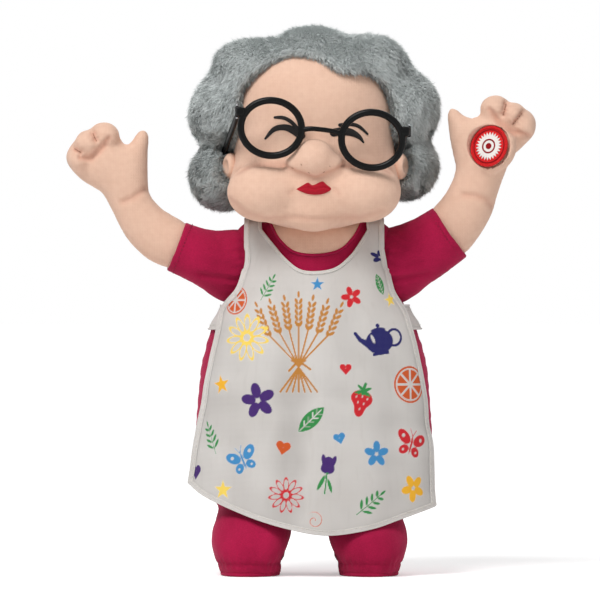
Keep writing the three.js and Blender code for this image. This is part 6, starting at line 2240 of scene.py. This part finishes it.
def make_closure():
    """The square of hook tape that holds the two tabs, stitched through in a box."""
    half, margin, columns, rows = 7.0, 2.5, 24, 18
    low, high = TAB_HEIGHTS[0] + margin, TAB_HEIGHTS[1] - margin
    x, z = np.meshgrid(np.linspace(-half, half, columns), np.linspace(low, high, rows), indexing="ij")
    lifted = raised_support(TAPE_STANDS)
    points = back_of(lifted, x.ravel(), z.ravel())
    edge = np.minimum(half - np.abs(points[:, 0]), np.minimum(points[:, 2] - low, high - points[:, 2]))
    points[:, 1] -= 0.7 * (1 - np.clip(edge / 0.8, 0, 1))
    made = piece("apron_closure_tape", points, grid_quads(columns, rows), PLAIN_CLOTH, "apron")
    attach(made, "trunk")
    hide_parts("apron_tab_closure")
    corners = [(-1, -1), (1, -1), (1, 1), (-1, 1), (-1, -1), (1, 1)]
    inset = 1.4
    wide, tall = half - inset, (high - low) / 2 - inset
    box_line = [(x * wide, (low + high) / 2 + z * tall) for x, z in corners]
    flat = even_path(box_line, 0.8)
    line = back_of(lifted, flat[:, 0], flat[:, 1])
    outward = off_support(line)
    threads = stitches(line + outward * 0.1, outward, *TAPE_STITCH)
    sewn = piece("apron_closure_stitches", *threads, WHITE_THREAD, "apron")
    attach(sewn, "trunk")
    return [made, sewn]


def flat_area(outline):
    x, z = outline[:, 0], outline[:, 1]
    return abs((x * np.roll(z, -1) - np.roll(x, -1) * z).sum()) / 2


def make_apron():
    cloth, flat = make_bib()
    hems = make_hems()
    straps = make_straps()
    tabs, tab_hems = make_tabs()
    closure = make_closure()
    area = flat_area(unrolled([*bib_outline(), bib_outline()[0]], 1.0))
    for strap in straps:
        long = run_along(strap_line(sum(STRAP) / 2, STRAP_ENDS))[-1]
    for tab, (side, to_x, _) in zip(tabs, BACK_TABS.values()):
        long = run_along(tab_line(side, sum(TAB_HEIGHTS) / 2, to_x, TAB_LIFT))[-1]


make_body()
for side_name, leg_centre in zip(("left", "right"), LEG_CENTRES):
    make_sole(side_name, leg_centre)
make_sleeve("left", LEFT_SLEEVE, 1)
make_sleeve("right", RIGHT_SLEEVE, -1)
make_hand("left", left_hand_form, (72, -34, 194), (146, 16, 311), LEFT_DIVISIONS, LEFT_CREASES)
make_hand("right", right_hand_form, (-163, -30, 186), (-70, 16, 294), RIGHT_DIVISIONS, RIGHT_CREASES)
make_press_patch()
make_head()
for ear_name in EARS:
    make_ear(ear_name)
make_eyes()
make_lips()
sew_nose()
make_neck()
make_wig()
make_rims()
for arm_name, arm_side in (("left", 1), ("right", -1)):
    make_glasses_arm(arm_name, arm_side)
make_apron()


# The floor


def make_floor():
    half = 40000.0
    points = np.array([(-half, -half, 0), (half, -half, 0), (half, half, 0), (-half, half, 0)], float)
    floor = piece("floor", points, np.array([[0, 1, 2, 3]]), FLOOR_WHITE, "dress", smooth=False)


FLOOR_WHITE = backdrop()
make_floor()
